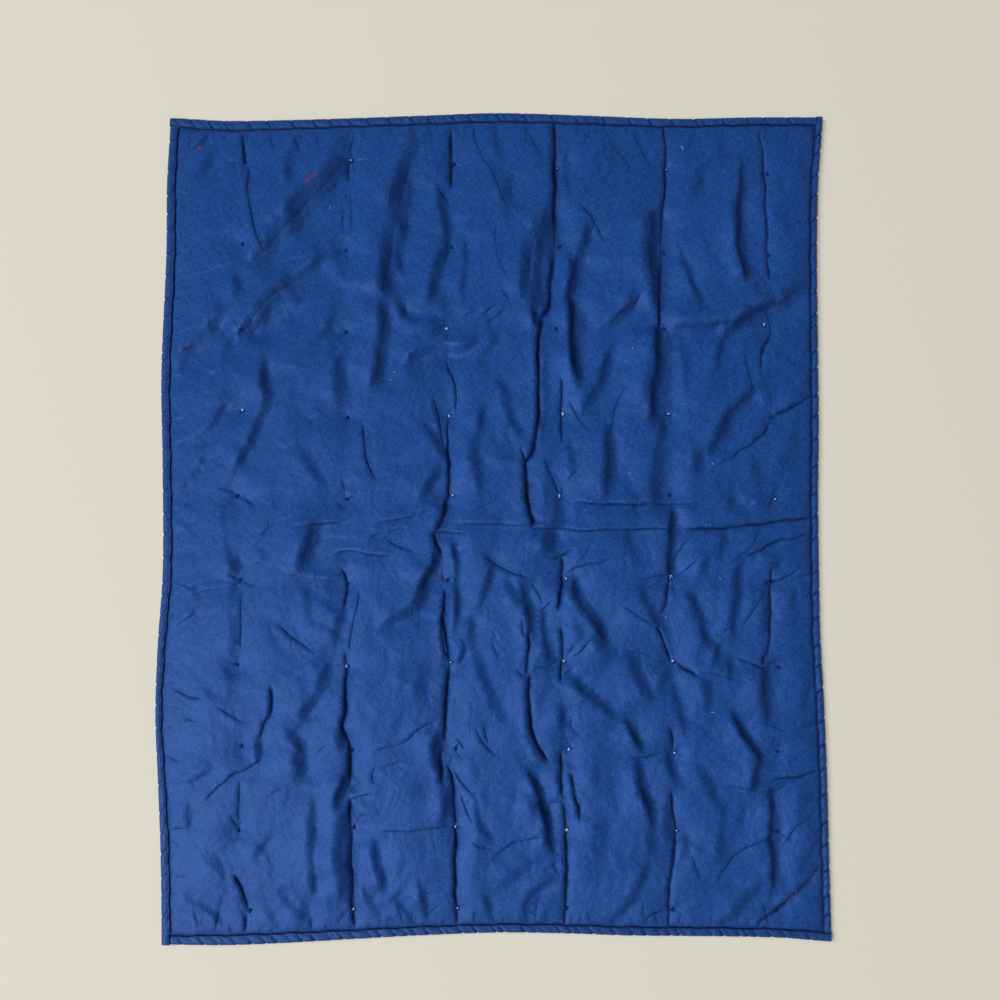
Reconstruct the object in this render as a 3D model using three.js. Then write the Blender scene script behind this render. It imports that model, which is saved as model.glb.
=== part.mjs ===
// A plain blue crib quilt, tied through at sixty places and bound with four straight strips, lying flat.
//
// The frame is in millimetres with +Z up. The quilt lies on z = 0, its long side runs along Y, and the
// origin is at the bottom centre of its box. Every piece is drawn on the quilt as it was cut, a true
// rectangle, and then laid down: laid() moves a point of the cut rectangle to where the cloth lies.

import * as THREE from 'three';

// ---- Driving dimensions ----

const CUT = { width: 914, length: 1143 };          // 36 x 45 inches, edge of binding to edge of binding

const BINDING = {
  cloth: 1.1,                                      // folded strip, two turns of thin cotton
  foldCloth: 1.5,                                  // the same cloth bunched round the fold
  height: 5.4,                                     // outside height of the folded edge
  foldDepth: 2.0,                                  // how far the rounded fold reaches in from the edge
};

const GAP = 0.35;                                  // air between two pieces that touch
const BUTT_GAP = 0.5;                              // air where the end of one strip meets the next strip
const CORNER = 15;                                 // how far a corner reaches along each side

const LOFT = {
  crown: 11.5,                                     // padding halfway between ties
  tie: 4.2,                                        // padding pulled down by a tie
  tieReachX: 27,                                   // how far the dimple of a tie spreads
  tieReachY: 23,
  pleatReach: 13,                                  // half width of the valley down a column of ties
  edgeRise: 32,                                    // from the seam to the full crown
  least: 2.6,                                      // the two cloths and batting pressed flat
};

const EDGE_SETBACK = 3.2;                          // the padded body stops this far inside the fold
const SEAM_CLEARANCE = 0.5;                        // the body starts to rise this far past the strip
const FLAT_INSET = 24;                             // the underside lies flat from this far inside the fold

// Visible width of each strip at stations along its side, and how far its fold lies outside the cut
// rectangle there. Stations run along X for the top and bottom and along Y for the left and right.
const SIDES = {
  top: [
    { at: -457, strip: 12.5, out: -2 },
    { at: -380, strip: 14, out: -6 },
    { at: -300, strip: 13, out: -5 },
    { at: -200, strip: 12.5, out: -2 },
    { at: -90, strip: 13, out: 2 },
    { at: 0, strip: 13, out: 5 },
    { at: 110, strip: 12.5, out: 2 },
    { at: 250, strip: 12, out: -3 },
    { at: 360, strip: 11.5, out: -1 },
    { at: 457, strip: 11.5, out: -1 },
  ],
  right: [
    { at: 571, strip: 9.5, out: 7 },
    { at: 480, strip: 9.5, out: 0 },
    { at: 380, strip: 9, out: -3 },
    { at: 250, strip: 9.5, out: -3 },
    { at: 130, strip: 9.5, out: -3 },
    { at: 30, strip: 9.5, out: -5 },
    { at: -150, strip: 10, out: -4 },
    { at: -240, strip: 10, out: 0 },
    { at: -330, strip: 9.5, out: 3 },
    { at: -450, strip: 9.5, out: 5 },
    { at: -571, strip: 9.5, out: 7 },
  ],
  bottom: [
    { at: -457, strip: 12, out: 4 },
    { at: -370, strip: 13.5, out: 5 },
    { at: -290, strip: 13.5, out: 2 },
    { at: -200, strip: 12.5, out: -3 },
    { at: -110, strip: 12, out: -8 },
    { at: 0, strip: 11.5, out: -12 },
    { at: 90, strip: 12, out: -11 },
    { at: 180, strip: 12, out: -8 },
    { at: 300, strip: 12, out: -7 },
    { at: 390, strip: 12, out: -5 },
    { at: 457, strip: 12, out: 0 },
  ],
  left: [
    { at: 571, strip: 12, out: -5 },
    { at: 480, strip: 12.5, out: -1 },
    { at: 380, strip: 13, out: -1 },
    { at: 210, strip: 12.5, out: 4 },
    { at: 90, strip: 12, out: 1 },
    { at: -60, strip: 12.5, out: -1 },
    { at: -170, strip: 10.5, out: 5 },
    { at: -260, strip: 9, out: 7 },
    { at: -340, strip: 10, out: 3 },
    { at: -440, strip: 12, out: -2 },
    { at: -571, strip: 12, out: -5 },
  ],
};

// The sixty ties as they lie: a row of six for each height, every tie with its own small drop.
const TIE_ROWS = [
  { y: 505, x: [-346, -197, -54, 91, 244, 385], drop: [0, -3, 2, 8, 10, 16] },
  { y: 385, x: [-347, -204, -57, 93, 239, 386], drop: [-3, 4, -1, -1, 7, 10] },
  { y: 270, x: [-349, -203, -63, 89, 239, 380], drop: [2, 3, -1, 0, -1, -6] },
  { y: 151, x: [-346, -201, -59, 98, 245, 388], drop: [-5, 4, 1, 0, 0, 4] },
  { y: 38, x: [-353, -201, -55, 93, 246, 391], drop: [0, 4, -1, -1, -1, 4] },
  { y: -78, x: [-347, -200, -61, 102, 247, 387], drop: [0, 6, 0, -2, -4, 3] },
  { y: -193, x: [-351, -200, -56, 99, 249, 394], drop: [1, 3, -2, -3, -3, 5] },
  { y: -310, x: [-343, -192, -50, 106, 251, 392], drop: [-5, 1, 0, -1, 5, 3] },
  { y: -419, x: [-347, -190, -49, 103, 253, 391], drop: [1, -2, -3, 0, 2, 4] },
  { y: -528, x: [-330, -189, -47, 102, 247, 388], drop: [0, -1, -1, -2, 0, 2] },
];

// Depth of the valley that runs down each column of ties.
const PLEAT_DEPTHS = [1.2, 2.6, 3.4, 3.0, 3.2, 2.4];

// Main folds of the cloth as it lies: height is below zero for a trough and above it for a ridge,
// reach is half its width, and path runs along its middle.
const FOLDS = [
  // upper left: long slanting drags off the second and first columns
  { height: -5, reach: 16, path: [[-214, 500], [-252, 462], [-270, 420], [-300, 378], [-345, 362]] },
  { height: 4, reach: 18, path: [[-185, 440], [-235, 380], [-300, 330]] },
  { height: -4, reach: 14, path: [[-236, 352], [-280, 322], [-300, 305]] },
  { height: -4, reach: 16, path: [[-270, 312], [-315, 290], [-345, 265], [-375, 230]] },
  { height: -3, reach: 14, path: [[-370, 275], [-400, 250], [-440, 205]] },
  { height: -3, reach: 18, path: [[-310, 215], [-320, 160], [-345, 85]] },
  { height: -3, reach: 16, path: [[-375, 150], [-440, 92]] },
  // the long pleat beside the fourth column, over half the height of the cloth
  { height: -7, reach: 13, path: [[95, 565], [93, 480], [86, 375], [78, 310], [60, 280], [57, 200],
    [48, 130], [48, 40], [55, 0]] },
  { height: 5, reach: 20, path: [[50, 540], [45, 420], [30, 330], [20, 200], [15, 110]] },
  { height: -4, reach: 14, path: [[135, 420], [115, 370], [105, 310], [108, 230]] },
  { height: -4, reach: 12, path: [[-150, 300], [-160, 255], [-163, 210]] },
  { height: -3, reach: 12, path: [[-115, 290], [-60, 290], [-20, 305]] },
  { height: -3, reach: 12, path: [[-105, 235], [-65, 250], [-30, 255]] },
  // upper right: valleys left of the fifth and sixth columns
  { height: -4, reach: 15, path: [[215, 430], [225, 330], [222, 200], [215, 130]] },
  { height: -4, reach: 13, path: [[345, 480], [335, 400], [350, 340]] },
  { height: -4, reach: 14, path: [[450, 330], [400, 300], [350, 285], [270, 275]] },
  { height: -4, reach: 16, path: [[360, 200], [320, 140], [295, 95]] },
  { height: -3, reach: 15, path: [[165, 235], [140, 180], [125, 130]] },
  { height: -3, reach: 14, path: [[180, 170], [168, 100], [170, 50]] },
  // fold lines left across the middle by storage
  { height: -2, reach: 12, path: [[-285, -5], [-130, -2], [0, 8], [120, 0], [260, -2], [430, 12]] },
  { height: 2, reach: 13, path: [[120, 20], [280, 18], [430, 25]] },
  // centre: the second pleat, wandering below the third column
  { height: -5, reach: 14, path: [[-58, 60], [-75, -5], [-90, -40], [-110, -85], [-155, -120]] },
  { height: 3, reach: 18, path: [[-20, 120], [-15, 60], [-5, 10]] },
  { height: -4, reach: 13, path: [[45, -90], [45, -200], [60, -290], [85, -340]] },
  { height: -4, reach: 16, path: [[112, -80], [145, -140], [190, -200]] },
  { height: -3, reach: 16, path: [[125, -215], [165, -260], [200, -300]] },
  { height: 4, reach: 20, path: [[0, -140], [5, -250], [20, -360]] },
  // lower left
  { height: -3, reach: 13, path: [[-305, -225], [-315, -295], [-380, -350]] },
  { height: -4, reach: 13, path: [[-212, -290], [-212, -380], [-200, -450], [-198, -540]] },
  { height: -3, reach: 14, path: [[-225, -130], [-250, -200], [-265, -240]] },
  { height: 3, reach: 22, path: [[-270, -60], [-275, -150]] },
  // lower right
  { height: -4, reach: 14, path: [[200, -320], [215, -390], [222, -450]] },
  { height: -3, reach: 13, path: [[325, -270], [360, -320], [350, -360]] },
  { height: -5, reach: 12, path: [[440, -470], [410, -510], [365, -552]] },
  { height: -3, reach: 14, path: [[205, -470], [165, -530]] },
  { height: 3, reach: 20, path: [[310, -120], [320, -220]] },
];

// Slow unevenness of the padding, so that no two cells between ties are alike.
const SWELLS = [
  { height: 0.9, alongX: 610, alongY: 430, shift: 0.6 },
  { height: 0.7, alongX: 290, alongY: -510, shift: 2.1 },
  { height: 0.5, alongX: -170, alongY: 240, shift: 4.0 },
];

const COLOURS = { cloth: 0x2a4886, binding: 0x2b4a80 };

// ---- Grid lines of the cut rectangle ----

const CELLS = { edgeX: 4, betweenColumns: 6, edgeY: 2, betweenRows: 5 };

const halfWidth = CUT.width / 2;
const halfLength = CUT.length / 2;

const smooth = (t) => THREE.MathUtils.smoothstep(t, 0, 1);

// Splits the stretch from each stop to the next into its own number of equal cells.
function gridLines(stops, cells) {
  const lines = [stops[0]];
  cells.forEach((count, k) => {
    for (let step = 1; step <= count; step++) {
      lines.push(THREE.MathUtils.lerp(stops[k], stops[k + 1], step / count));
    }
  });
  return lines;
}

const mean = (values) => values.reduce((sum, value) => sum + value, 0) / values.length;
const columnMeans = [0, 1, 2, 3, 4, 5].map((k) => mean(TIE_ROWS.map((row) => row.x[k])));
const innerX = halfWidth - FLAT_INSET;
const innerY = halfLength - FLAT_INSET;

const columns = gridLines(
  [-innerX, ...columnMeans, innerX],
  [CELLS.edgeX, ...Array(5).fill(CELLS.betweenColumns), CELLS.edgeX],
);
const rows = gridLines(
  [-innerY, ...TIE_ROWS.map((row) => row.y).reverse(), innerY],
  [CELLS.edgeY, ...Array(9).fill(CELLS.betweenRows), CELLS.edgeY],
);

// ---- How the cut rectangle lies ----

// Smooth value of one column of a side's table, by a Catmull-Rom curve through its stations.
function along(side, column, where) {
  const table = SIDES[side];
  const rising = table[0].at < table[table.length - 1].at ? table : [...table].reverse();
  const last = rising.length - 1;
  let k = rising.findIndex((station) => station.at > where) - 1;
  if (k === -2) k = last - 1;
  k = THREE.MathUtils.clamp(k, 0, last - 1);
  const [before, from, to, after] = [k - 1, k, k + 1, k + 2].map(
    (index) => rising[THREE.MathUtils.clamp(index, 0, last)][column],
  );
  const t = THREE.MathUtils.clamp((where - rising[k].at) / (rising[k + 1].at - rising[k].at), 0, 1);
  const tangentFrom = (to - before) / 2;
  const tangentTo = (after - from) / 2;
  return from * (1 + 2 * t) * (1 - t) ** 2 + tangentFrom * t * (1 - t) ** 2
    + to * t * t * (3 - 2 * t) - tangentTo * t * t * (1 - t);
}

// Moves a point of the cut rectangle to where the cloth lies.
function laid(x, y) {
  const s = x / CUT.width + 0.5;
  const t = y / CUT.length + 0.5;
  return [
    x + THREE.MathUtils.lerp(-along('left', 'out', y), along('right', 'out', y), s),
    y + THREE.MathUtils.lerp(-along('bottom', 'out', x), along('top', 'out', x), t),
  ];
}

// ---- Height of the padded body ----

const ties = TIE_ROWS.flatMap((row) => row.x.map((x, k) => ({ x, y: row.y - row.drop[k] })));

const bump = (distance, reach) => Math.exp(-((distance / reach) ** 2));

// Where a column of ties runs at this height of the cloth.
function pleatX(column, y) {
  const points = TIE_ROWS.map((row) => ({ x: row.x[column], y: row.y - row.drop[column] }));
  const k = THREE.MathUtils.clamp(points.findIndex((point) => point.y < y), 1, points.length - 1);
  const [upper, lower] = [points[k - 1], points[k]];
  const t = THREE.MathUtils.clamp((upper.y - y) / (upper.y - lower.y), 0, 1);
  return THREE.MathUtils.lerp(upper.x, lower.x, t);
}

// Distance from a point to a fold's path, and how far along the path its nearest point lies, 0 to 1.
function nearestOnPath(path, x, y) {
  let best = { distance: Infinity, share: 0 };
  for (let k = 0; k < path.length - 1; k++) {
    const [ax, ay] = path[k];
    const [bx, by] = path[k + 1];
    const lengthSquared = (bx - ax) ** 2 + (by - ay) ** 2;
    const t = THREE.MathUtils.clamp(((x - ax) * (bx - ax) + (y - ay) * (by - ay)) / lengthSquared, 0, 1);
    const distance = Math.hypot(x - ax - t * (bx - ax), y - ay - t * (by - ay));
    if (distance < best.distance) best = { distance, share: (k + t) / (path.length - 1) };
  }
  return best;
}

// A fold is deepest along its middle and runs out over its two ends.
function foldHeight(fold, x, y) {
  const near = nearestOnPath(fold.path, x, y);
  const fade = smooth(Math.min(near.share, 1 - near.share) * 4 + 0.25);
  return fold.height * fade * bump(near.distance, fold.reach);
}

function swellHeight(swell, x, y) {
  return swell.height * Math.sin(2 * Math.PI * (x / swell.alongX + y / swell.alongY) + swell.shift);
}

const sum = (items, value) => items.reduce((total, item) => total + value(item), 0);

const bodyEdge = {
  bottom: BINDING.cloth + GAP,
  top: BINDING.height - BINDING.cloth - GAP,
};

// Top of the padding at a laid point that is `inside` millimetres in from the nearest seam.
function bodyTop(x, y, inside) {
  const tieX = LOFT.tieReachX;
  const tieY = LOFT.tieReachY;
  const dimples = Math.max(...ties.map((tie) => bump(Math.hypot((x - tie.x) / tieX, (y - tie.y) / tieY), 1)));
  const pleats = sum(PLEAT_DEPTHS.map((depth, column) => ({ depth, column })), ({ depth, column }) =>
    depth * bump(x - pleatX(column, y), LOFT.pleatReach));
  const loose = LOFT.crown - pleats
    + sum(FOLDS, (fold) => foldHeight(fold, x, y))
    + sum(SWELLS, (swell) => swellHeight(swell, x, y));
  const padded = Math.max(THREE.MathUtils.lerp(loose, LOFT.tie, dimples), LOFT.least);
  return THREE.MathUtils.lerp(bodyEdge.top, padded, smooth(inside / LOFT.edgeRise));
}

// ---- Closed meshes from points and faces ----

function closedGeometry(points, faces) {
  const geometry = new THREE.BufferGeometry();
  geometry.setAttribute('position', new THREE.Float32BufferAttribute(points.flat(), 3));
  geometry.setIndex(faces.flat());
  geometry.computeVertexNormals();
  return geometry;
}

// The padded body: a grid over the cut rectangle. Its outer two rings of cells go into the binding and
// lift the underside off the floor; inside them the underside is one flat face.
function bodyGeometry() {
  const countX = columns.length + 4;
  const countY = rows.length + 4;

  // Cut coordinate of grid line `index`: edge, seam, inner lines, seam, edge.
  const cutAt = (index, count, inner, half, lowStrip, highStrip) => {
    if (index === 0) return -half + EDGE_SETBACK;
    if (index === 1) return -half + lowStrip + SEAM_CLEARANCE;
    if (index === count - 2) return half - highStrip - SEAM_CLEARANCE;
    if (index === count - 1) return half - EDGE_SETBACK;
    return inner[index - 2];
  };
  const clampedLine = (lines, index) => lines[THREE.MathUtils.clamp(index - 2, 0, lines.length - 1)];

  const ring = (i, j) => Math.min(i, countX - 1 - i, j, countY - 1 - j);
  const flatRing = 2;

  const node = (i, j) => {
    const nominalX = clampedLine(columns, i);
    const nominalY = clampedLine(rows, j);
    const strips = {
      left: along('left', 'strip', nominalY),
      right: along('right', 'strip', nominalY),
      bottom: along('bottom', 'strip', nominalX),
      top: along('top', 'strip', nominalX),
    };
    const cutX = cutAt(i, countX, columns, halfWidth, strips.left, strips.right);
    const cutY = cutAt(j, countY, rows, halfLength, strips.bottom, strips.top);
    const inside = Math.min(
      cutX + halfWidth - strips.left,
      halfWidth - strips.right - cutX,
      cutY + halfLength - strips.bottom,
      halfLength - strips.top - cutY,
    ) - SEAM_CLEARANCE;
    const [x, y] = laid(cutX, cutY);
    const bottom = ring(i, j) >= flatRing ? 0 : bodyEdge.bottom;
    return { x, y, top: bodyTop(x, y, Math.max(inside, 0)), bottom };
  };

  const points = [];
  const topIndex = [];
  const bottomIndex = [];
  for (let j = 0; j < countY; j++) {
    topIndex.push([]);
    bottomIndex.push([]);
    for (let i = 0; i < countX; i++) {
      const { x, y, top, bottom } = node(i, j);
      topIndex[j].push(points.push([x, y, top]) - 1);
      bottomIndex[j].push(ring(i, j) <= flatRing ? points.push([x, y, bottom]) - 1 : null);
    }
  }

  const faces = [];
  const quad = (a, b, c, d, flip) => {
    if (flip) faces.push([a, b, d], [b, c, d]);
    else faces.push([a, b, c], [a, c, d]);
  };
  for (let j = 0; j < countY - 1; j++) {
    for (let i = 0; i < countX - 1; i++) {
      const flip = (i + j) % 2 === 1;
      const [a, b, c, d] = [topIndex[j][i], topIndex[j][i + 1], topIndex[j + 1][i + 1], topIndex[j + 1][i]];
      quad(a, b, c, d, flip);
      if (Math.min(i, countX - 2 - i, j, countY - 2 - j) < flatRing) {
        const low = bottomIndex;
        quad(low[j][i], low[j + 1][i], low[j + 1][i + 1], low[j][i + 1], flip);
      }
    }
  }

  // Grid places round ring r, counter-clockwise from its lower left corner.
  const loop = (r) => {
    const stops = [];
    for (let i = r; i < countX - 1 - r; i++) stops.push([i, r]);
    for (let j = r; j < countY - 1 - r; j++) stops.push([countX - 1 - r, j]);
    for (let i = countX - 1 - r; i > r; i--) stops.push([i, countY - 1 - r]);
    for (let j = countY - 1 - r; j > r; j--) stops.push([r, j]);
    return stops;
  };

  const edge = loop(0);
  edge.forEach(([i, j], k) => {
    const [nextI, nextJ] = edge[(k + 1) % edge.length];
    quad(bottomIndex[j][i], bottomIndex[nextJ][nextI], topIndex[nextJ][nextI], topIndex[j][i], false);
  });

  const underside = loop(flatRing).map(([i, j]) => bottomIndex[j][i]);
  const outline = underside.map((index) => new THREE.Vector2(points[index][0], points[index][1]));
  THREE.ShapeUtils.triangulateShape(outline, []).forEach(([a, b, c]) => {
    faces.push([underside[c], underside[b], underside[a]]);
  });
  return closedGeometry(points, faces);
}

// A binding strip: its folded section, a U that opens inward, carried along one side. Each place in the
// section is the distance in from the fold and the height; `strip` is the strip's visible width there.
function stripSection(strip) {
  const { cloth, foldCloth, height, foldDepth } = BINDING;
  const middle = height / 2;
  const innerFold = foldDepth + cloth / 2;
  return [
    [strip, height], [foldDepth, height], [0, middle], [foldDepth, 0], [strip, 0],
    [strip, cloth], [innerFold, cloth], [foldCloth, middle],
    [innerFold, height - cloth], [strip, height - cloth],
  ];
}

// Each side: the way from its fold to the inside, its stations, and where the strip starts and stops.
// A strip covers one corner, and its other end butts against the strip that covers the next.
function stripGeometry(side) {
  const half = side === 'top' || side === 'bottom' ? halfLength : halfWidth;
  const cross = {
    top: (where, inset) => [where, half - inset],
    bottom: (where, inset) => [where, -half + inset],
    left: (where, inset) => [-half + inset, where],
    right: (where, inset) => [half - inset, where],
  }[side];
  const butt = (other, at) => BUTT_GAP
    + Math.max(along(other, 'strip', at), along(other, 'strip', at - Math.sign(at) * CORNER));
  const [from, to, lines] = {
    top: [-halfWidth, halfWidth - butt('right', halfLength), columns],
    right: [-halfLength + butt('bottom', halfWidth), halfLength, rows],
    bottom: [-halfWidth + butt('left', -halfLength), halfWidth, columns],
    left: [-halfLength, halfLength - butt('top', -halfWidth), rows],
  }[side];
  const stations = [from, ...lines, to];

  const sections = stations.map((where) => stripSection(along(side, 'strip', where))
    .map(([inset, height]) => [...laid(...cross(where, inset)), height]));
  const size = sections[0].length;
  const points = sections.flat();
  const faces = [];
  for (let s = 0; s < sections.length - 1; s++) {
    for (let k = 0; k < size; k++) {
      const a = s * size + k;
      const b = s * size + (k + 1) % size;
      faces.push([a, a + size, b + size], [a, b + size, b]);
    }
  }
  const profile = stripSection(along(side, 'strip', stations[0])).map(([inset, z]) => new THREE.Vector2(inset, z));
  const caps = THREE.ShapeUtils.triangulateShape(profile, []);
  const lastSection = (sections.length - 1) * size;
  caps.forEach(([a, b, c]) => {
    faces.push([a, b, c], [lastSection + c, lastSection + b, lastSection + a]);
  });
  const turned = side === 'bottom' || side === 'right';
  return closedGeometry(points, turned ? faces.map(([a, b, c]) => [a, c, b]) : faces);
}

// ---- The quilt ----

function piece(name, geometry, colour, roughness) {
  const material = new THREE.MeshStandardMaterial({ color: colour, roughness, metalness: 0 });
  const mesh = new THREE.Mesh(geometry, material);
  mesh.name = name;
  return mesh;
}

const quilt = new THREE.Group();
quilt.add(piece('quilt_body', bodyGeometry(), COLOURS.cloth, 0.9));
for (const side of Object.keys(SIDES)) {
  quilt.add(piece(`binding_${side}`, stripGeometry(side), COLOURS.binding, 0.92));
}

export default quilt;
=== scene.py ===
import math

import bpy
import numpy as np
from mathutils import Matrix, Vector
from mathutils.bvhtree import BVHTree
from mathutils.geometry import delaunay_2d_cdt, tessellate_polygon
from mathutils.kdtree import KDTree


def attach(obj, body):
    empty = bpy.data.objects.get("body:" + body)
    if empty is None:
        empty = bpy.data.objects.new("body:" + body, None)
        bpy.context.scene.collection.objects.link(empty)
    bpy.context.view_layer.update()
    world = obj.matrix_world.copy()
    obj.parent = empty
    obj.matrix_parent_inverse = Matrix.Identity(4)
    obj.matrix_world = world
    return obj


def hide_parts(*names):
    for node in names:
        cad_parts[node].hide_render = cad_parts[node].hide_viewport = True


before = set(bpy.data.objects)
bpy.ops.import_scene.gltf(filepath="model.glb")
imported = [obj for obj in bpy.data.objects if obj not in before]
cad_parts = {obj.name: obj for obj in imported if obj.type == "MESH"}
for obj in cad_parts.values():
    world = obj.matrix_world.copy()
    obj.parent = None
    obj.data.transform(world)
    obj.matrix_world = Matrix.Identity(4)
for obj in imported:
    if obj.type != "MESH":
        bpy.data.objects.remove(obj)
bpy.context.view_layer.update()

# ---- Padded body ----
# Two layers of plain cotton broadcloth with a thin polyester batting between them, cut as one crib-size
# rectangle. Pulled down at sixty ties, it puffs up between them and keeps the pleats it fell into.

MM = 0.001
AWAY_FROM_WINDOW = (0.95, -0.3)     # the way the light travels across the cloth
CUT_WIDTH = 914.0
CUT_LENGTH = 1143.0
HALF_WIDTH = CUT_WIDTH / 2
HALF_LENGTH = CUT_LENGTH / 2
BODY_SETBACK = 3.2       # the padding stops this far inside the fold of the binding
SEAM_CLEARANCE = 0.5     # the padding starts to rise this far past the strip
EDGE_TOP = 3.0           # height of the pressed edge where the strip is sewn down
EDGE_BOTTOM = 1.45       # the pressed edge stands this far off the floor, inside the strip
CROWN = 11.0             # padding halfway between ties
SEAM_RISE = 85.0         # from the seam to the full crown
THINNEST = 2.3           # two cloths and batting pressed flat
TIE_COLUMNS = 6
ROW_DIP = 0.7            # how far the padding dips along each row of ties
TIE_PULL = 2.8           # how far a tie draws down the padding round it
TIE_DIMPLE = 1.9         # and the small dimple right at the knot

# Each station along a side: place, visible width of the binding, and how far its fold lies outside the
# cut rectangle.
SIDES = {
    "top": [(-457, 12.5, -2), (-380, 14, -6), (-300, 13, -5), (-200, 12.5, -2), (-90, 13, 2),
            (0, 13, 5), (110, 12.5, 2), (250, 12, -3), (360, 11.5, -1), (457, 11.5, -1)],
    "right": [(571, 9.5, 7), (480, 9.5, 0), (380, 9, -3), (250, 9.5, -3), (130, 9.5, -3),
              (30, 9.5, -5), (-150, 10, -4), (-240, 10, 0), (-330, 9.5, 3), (-450, 9.5, 5),
              (-571, 9.5, 7)],
    "bottom": [(-457, 12, 4), (-370, 13.5, 5), (-290, 13.5, 2), (-200, 12.5, -3), (-110, 12, -8),
               (0, 11.5, -12), (90, 12, -11), (180, 12, -8), (300, 12, -7), (390, 12, -5),
               (457, 12, 0)],
    "left": [(571, 12, -5), (480, 12.5, -1), (380, 13, -1), (210, 12.5, 4), (90, 12, 1),
             (-60, 12.5, -1), (-170, 10.5, 5), (-260, 9, 7), (-340, 10, 3), (-440, 12, -2),
             (-571, 12, -5)],
}
STRIP = 1                # columns of that table
OUT = 2


def along(side, column, where):
    """Smooth value at a place along one side, by a curve through its stations."""
    table = np.array(sorted(SIDES[side]), float)
    at = table[:, 0]
    value = np.concatenate([table[:1, column], table[:, column], table[-1:, column]])
    where = np.clip(where, at[0], at[-1])
    k = np.clip(np.searchsorted(at, where, side="right") - 1, 0, len(at) - 2)
    t = (where - at[k]) / (at[k + 1] - at[k])
    before, start, end, after = value[k], value[k + 1], value[k + 2], value[k + 3]
    return (start * (1 + 2 * t) * (1 - t) ** 2 + (end - before) / 2 * t * (1 - t) ** 2
            + end * t * t * (3 - 2 * t) - (after - start) / 2 * t * t * (1 - t))


def laid(u, v):
    """Moves places of the cut rectangle to where the cloth lies."""
    s = u / CUT_WIDTH + 0.5
    t = v / CUT_LENGTH + 0.5
    x = u - along("left", OUT, v) * (1 - s) + along("right", OUT, v) * s
    y = v - along("bottom", OUT, u) * (1 - t) + along("top", OUT, u) * t
    return x, y


def before_laying(x, y):
    """The place of the cut rectangle that lies at x, y."""
    u, v = x, y
    for _ in range(4):
        there_x, there_y = laid(u, v)
        u, v = u + x - there_x, v + y - there_y
    return u, v


def smooth(t):
    t = np.clip(t, 0, 1)
    return t * t * (3 - 2 * t)


# Where the stitching along each side puckers the cloth most.
PUCKERS = {
    "top": [-425, -400, -378, -345, -318, -285, -255, -232, -205, -180, -150, -118, -95, -60, -38, 2,
            40, 78, 112, 150, 186, 215, 246, 280, 318, 352, 377, 410],
    "bottom": [-430, -402, -383, -358, -337, -318, -302, -267, -250, -228, -212, -196, -173, -160,
               -140, -124, -112, -95, -75, -50, -29, -3, 7, 37, 52, 85, 100, 112, 129, 160, 184, 202,
               221, 235, 247, 292, 307, 330, 340, 352, 372, 392, 425],
    "left": [540, 500, 465, 440, 415, 382, 352, 320, 293, 262, 245, 233, 210, 187, 160, 140, 110, 80,
             52, 20, -8, -40, -75, -92, -120, -147, -187, -215, -243, -275, -310, -352, -390, -417,
             -445, -478, -500, -530],
    "right": [545, 520, 488, 460, 425, 390, 352, 322, 291, 276, 240, 215, 178, 150, 117, 80, 42, 10,
              -20, -66, -96, -130, -168, -196, -230, -272, -305, -337, -372, -410, -440, -475, -510,
              -535],
}


def seam(side, where):
    """How far the stitched inner edge of a strip lies inside its fold; it wavers a little."""
    turn = len(side)
    return along(side, STRIP, where) + 0.5 * np.sin(where / 9.3 + turn) + 0.35 * np.sin(where / 4.1 + turn)


# The sixty ties as they lie, in ten rows of six: the row's height, then where each tie is across and
# how far it sits below that height.
TIE_ROWS = [
    (505, [-346, -197, -54, 91, 244, 385], [0, -3, 2, 8, 10, 16]),
    (385, [-347, -204, -57, 93, 239, 386], [-3, 4, -1, -1, 7, 10]),
    (270, [-349, -203, -63, 89, 239, 380], [2, 3, -1, 0, -1, -6]),
    (151, [-346, -201, -59, 98, 245, 388], [-5, 4, 1, 0, 0, 4]),
    (38, [-353, -201, -55, 93, 246, 391], [0, 4, -1, -1, -1, 4]),
    (-78, [-347, -200, -61, 102, 247, 387], [0, 6, 0, -2, -4, 3]),
    (-193, [-351, -200, -56, 99, 249, 394], [1, 3, -2, -3, -3, 5]),
    (-310, [-343, -192, -50, 106, 251, 392], [-5, 1, 0, -1, 5, 3]),
    (-419, [-347, -190, -49, 103, 253, 391], [1, -2, -3, 0, 2, 4]),
    (-528, [-330, -189, -47, 102, 247, 388], [0, -1, -1, -2, 0, 2]),
]
TIES = [(x, y - drop) for y, across, drops in TIE_ROWS for x, drop in zip(across, drops)]

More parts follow.
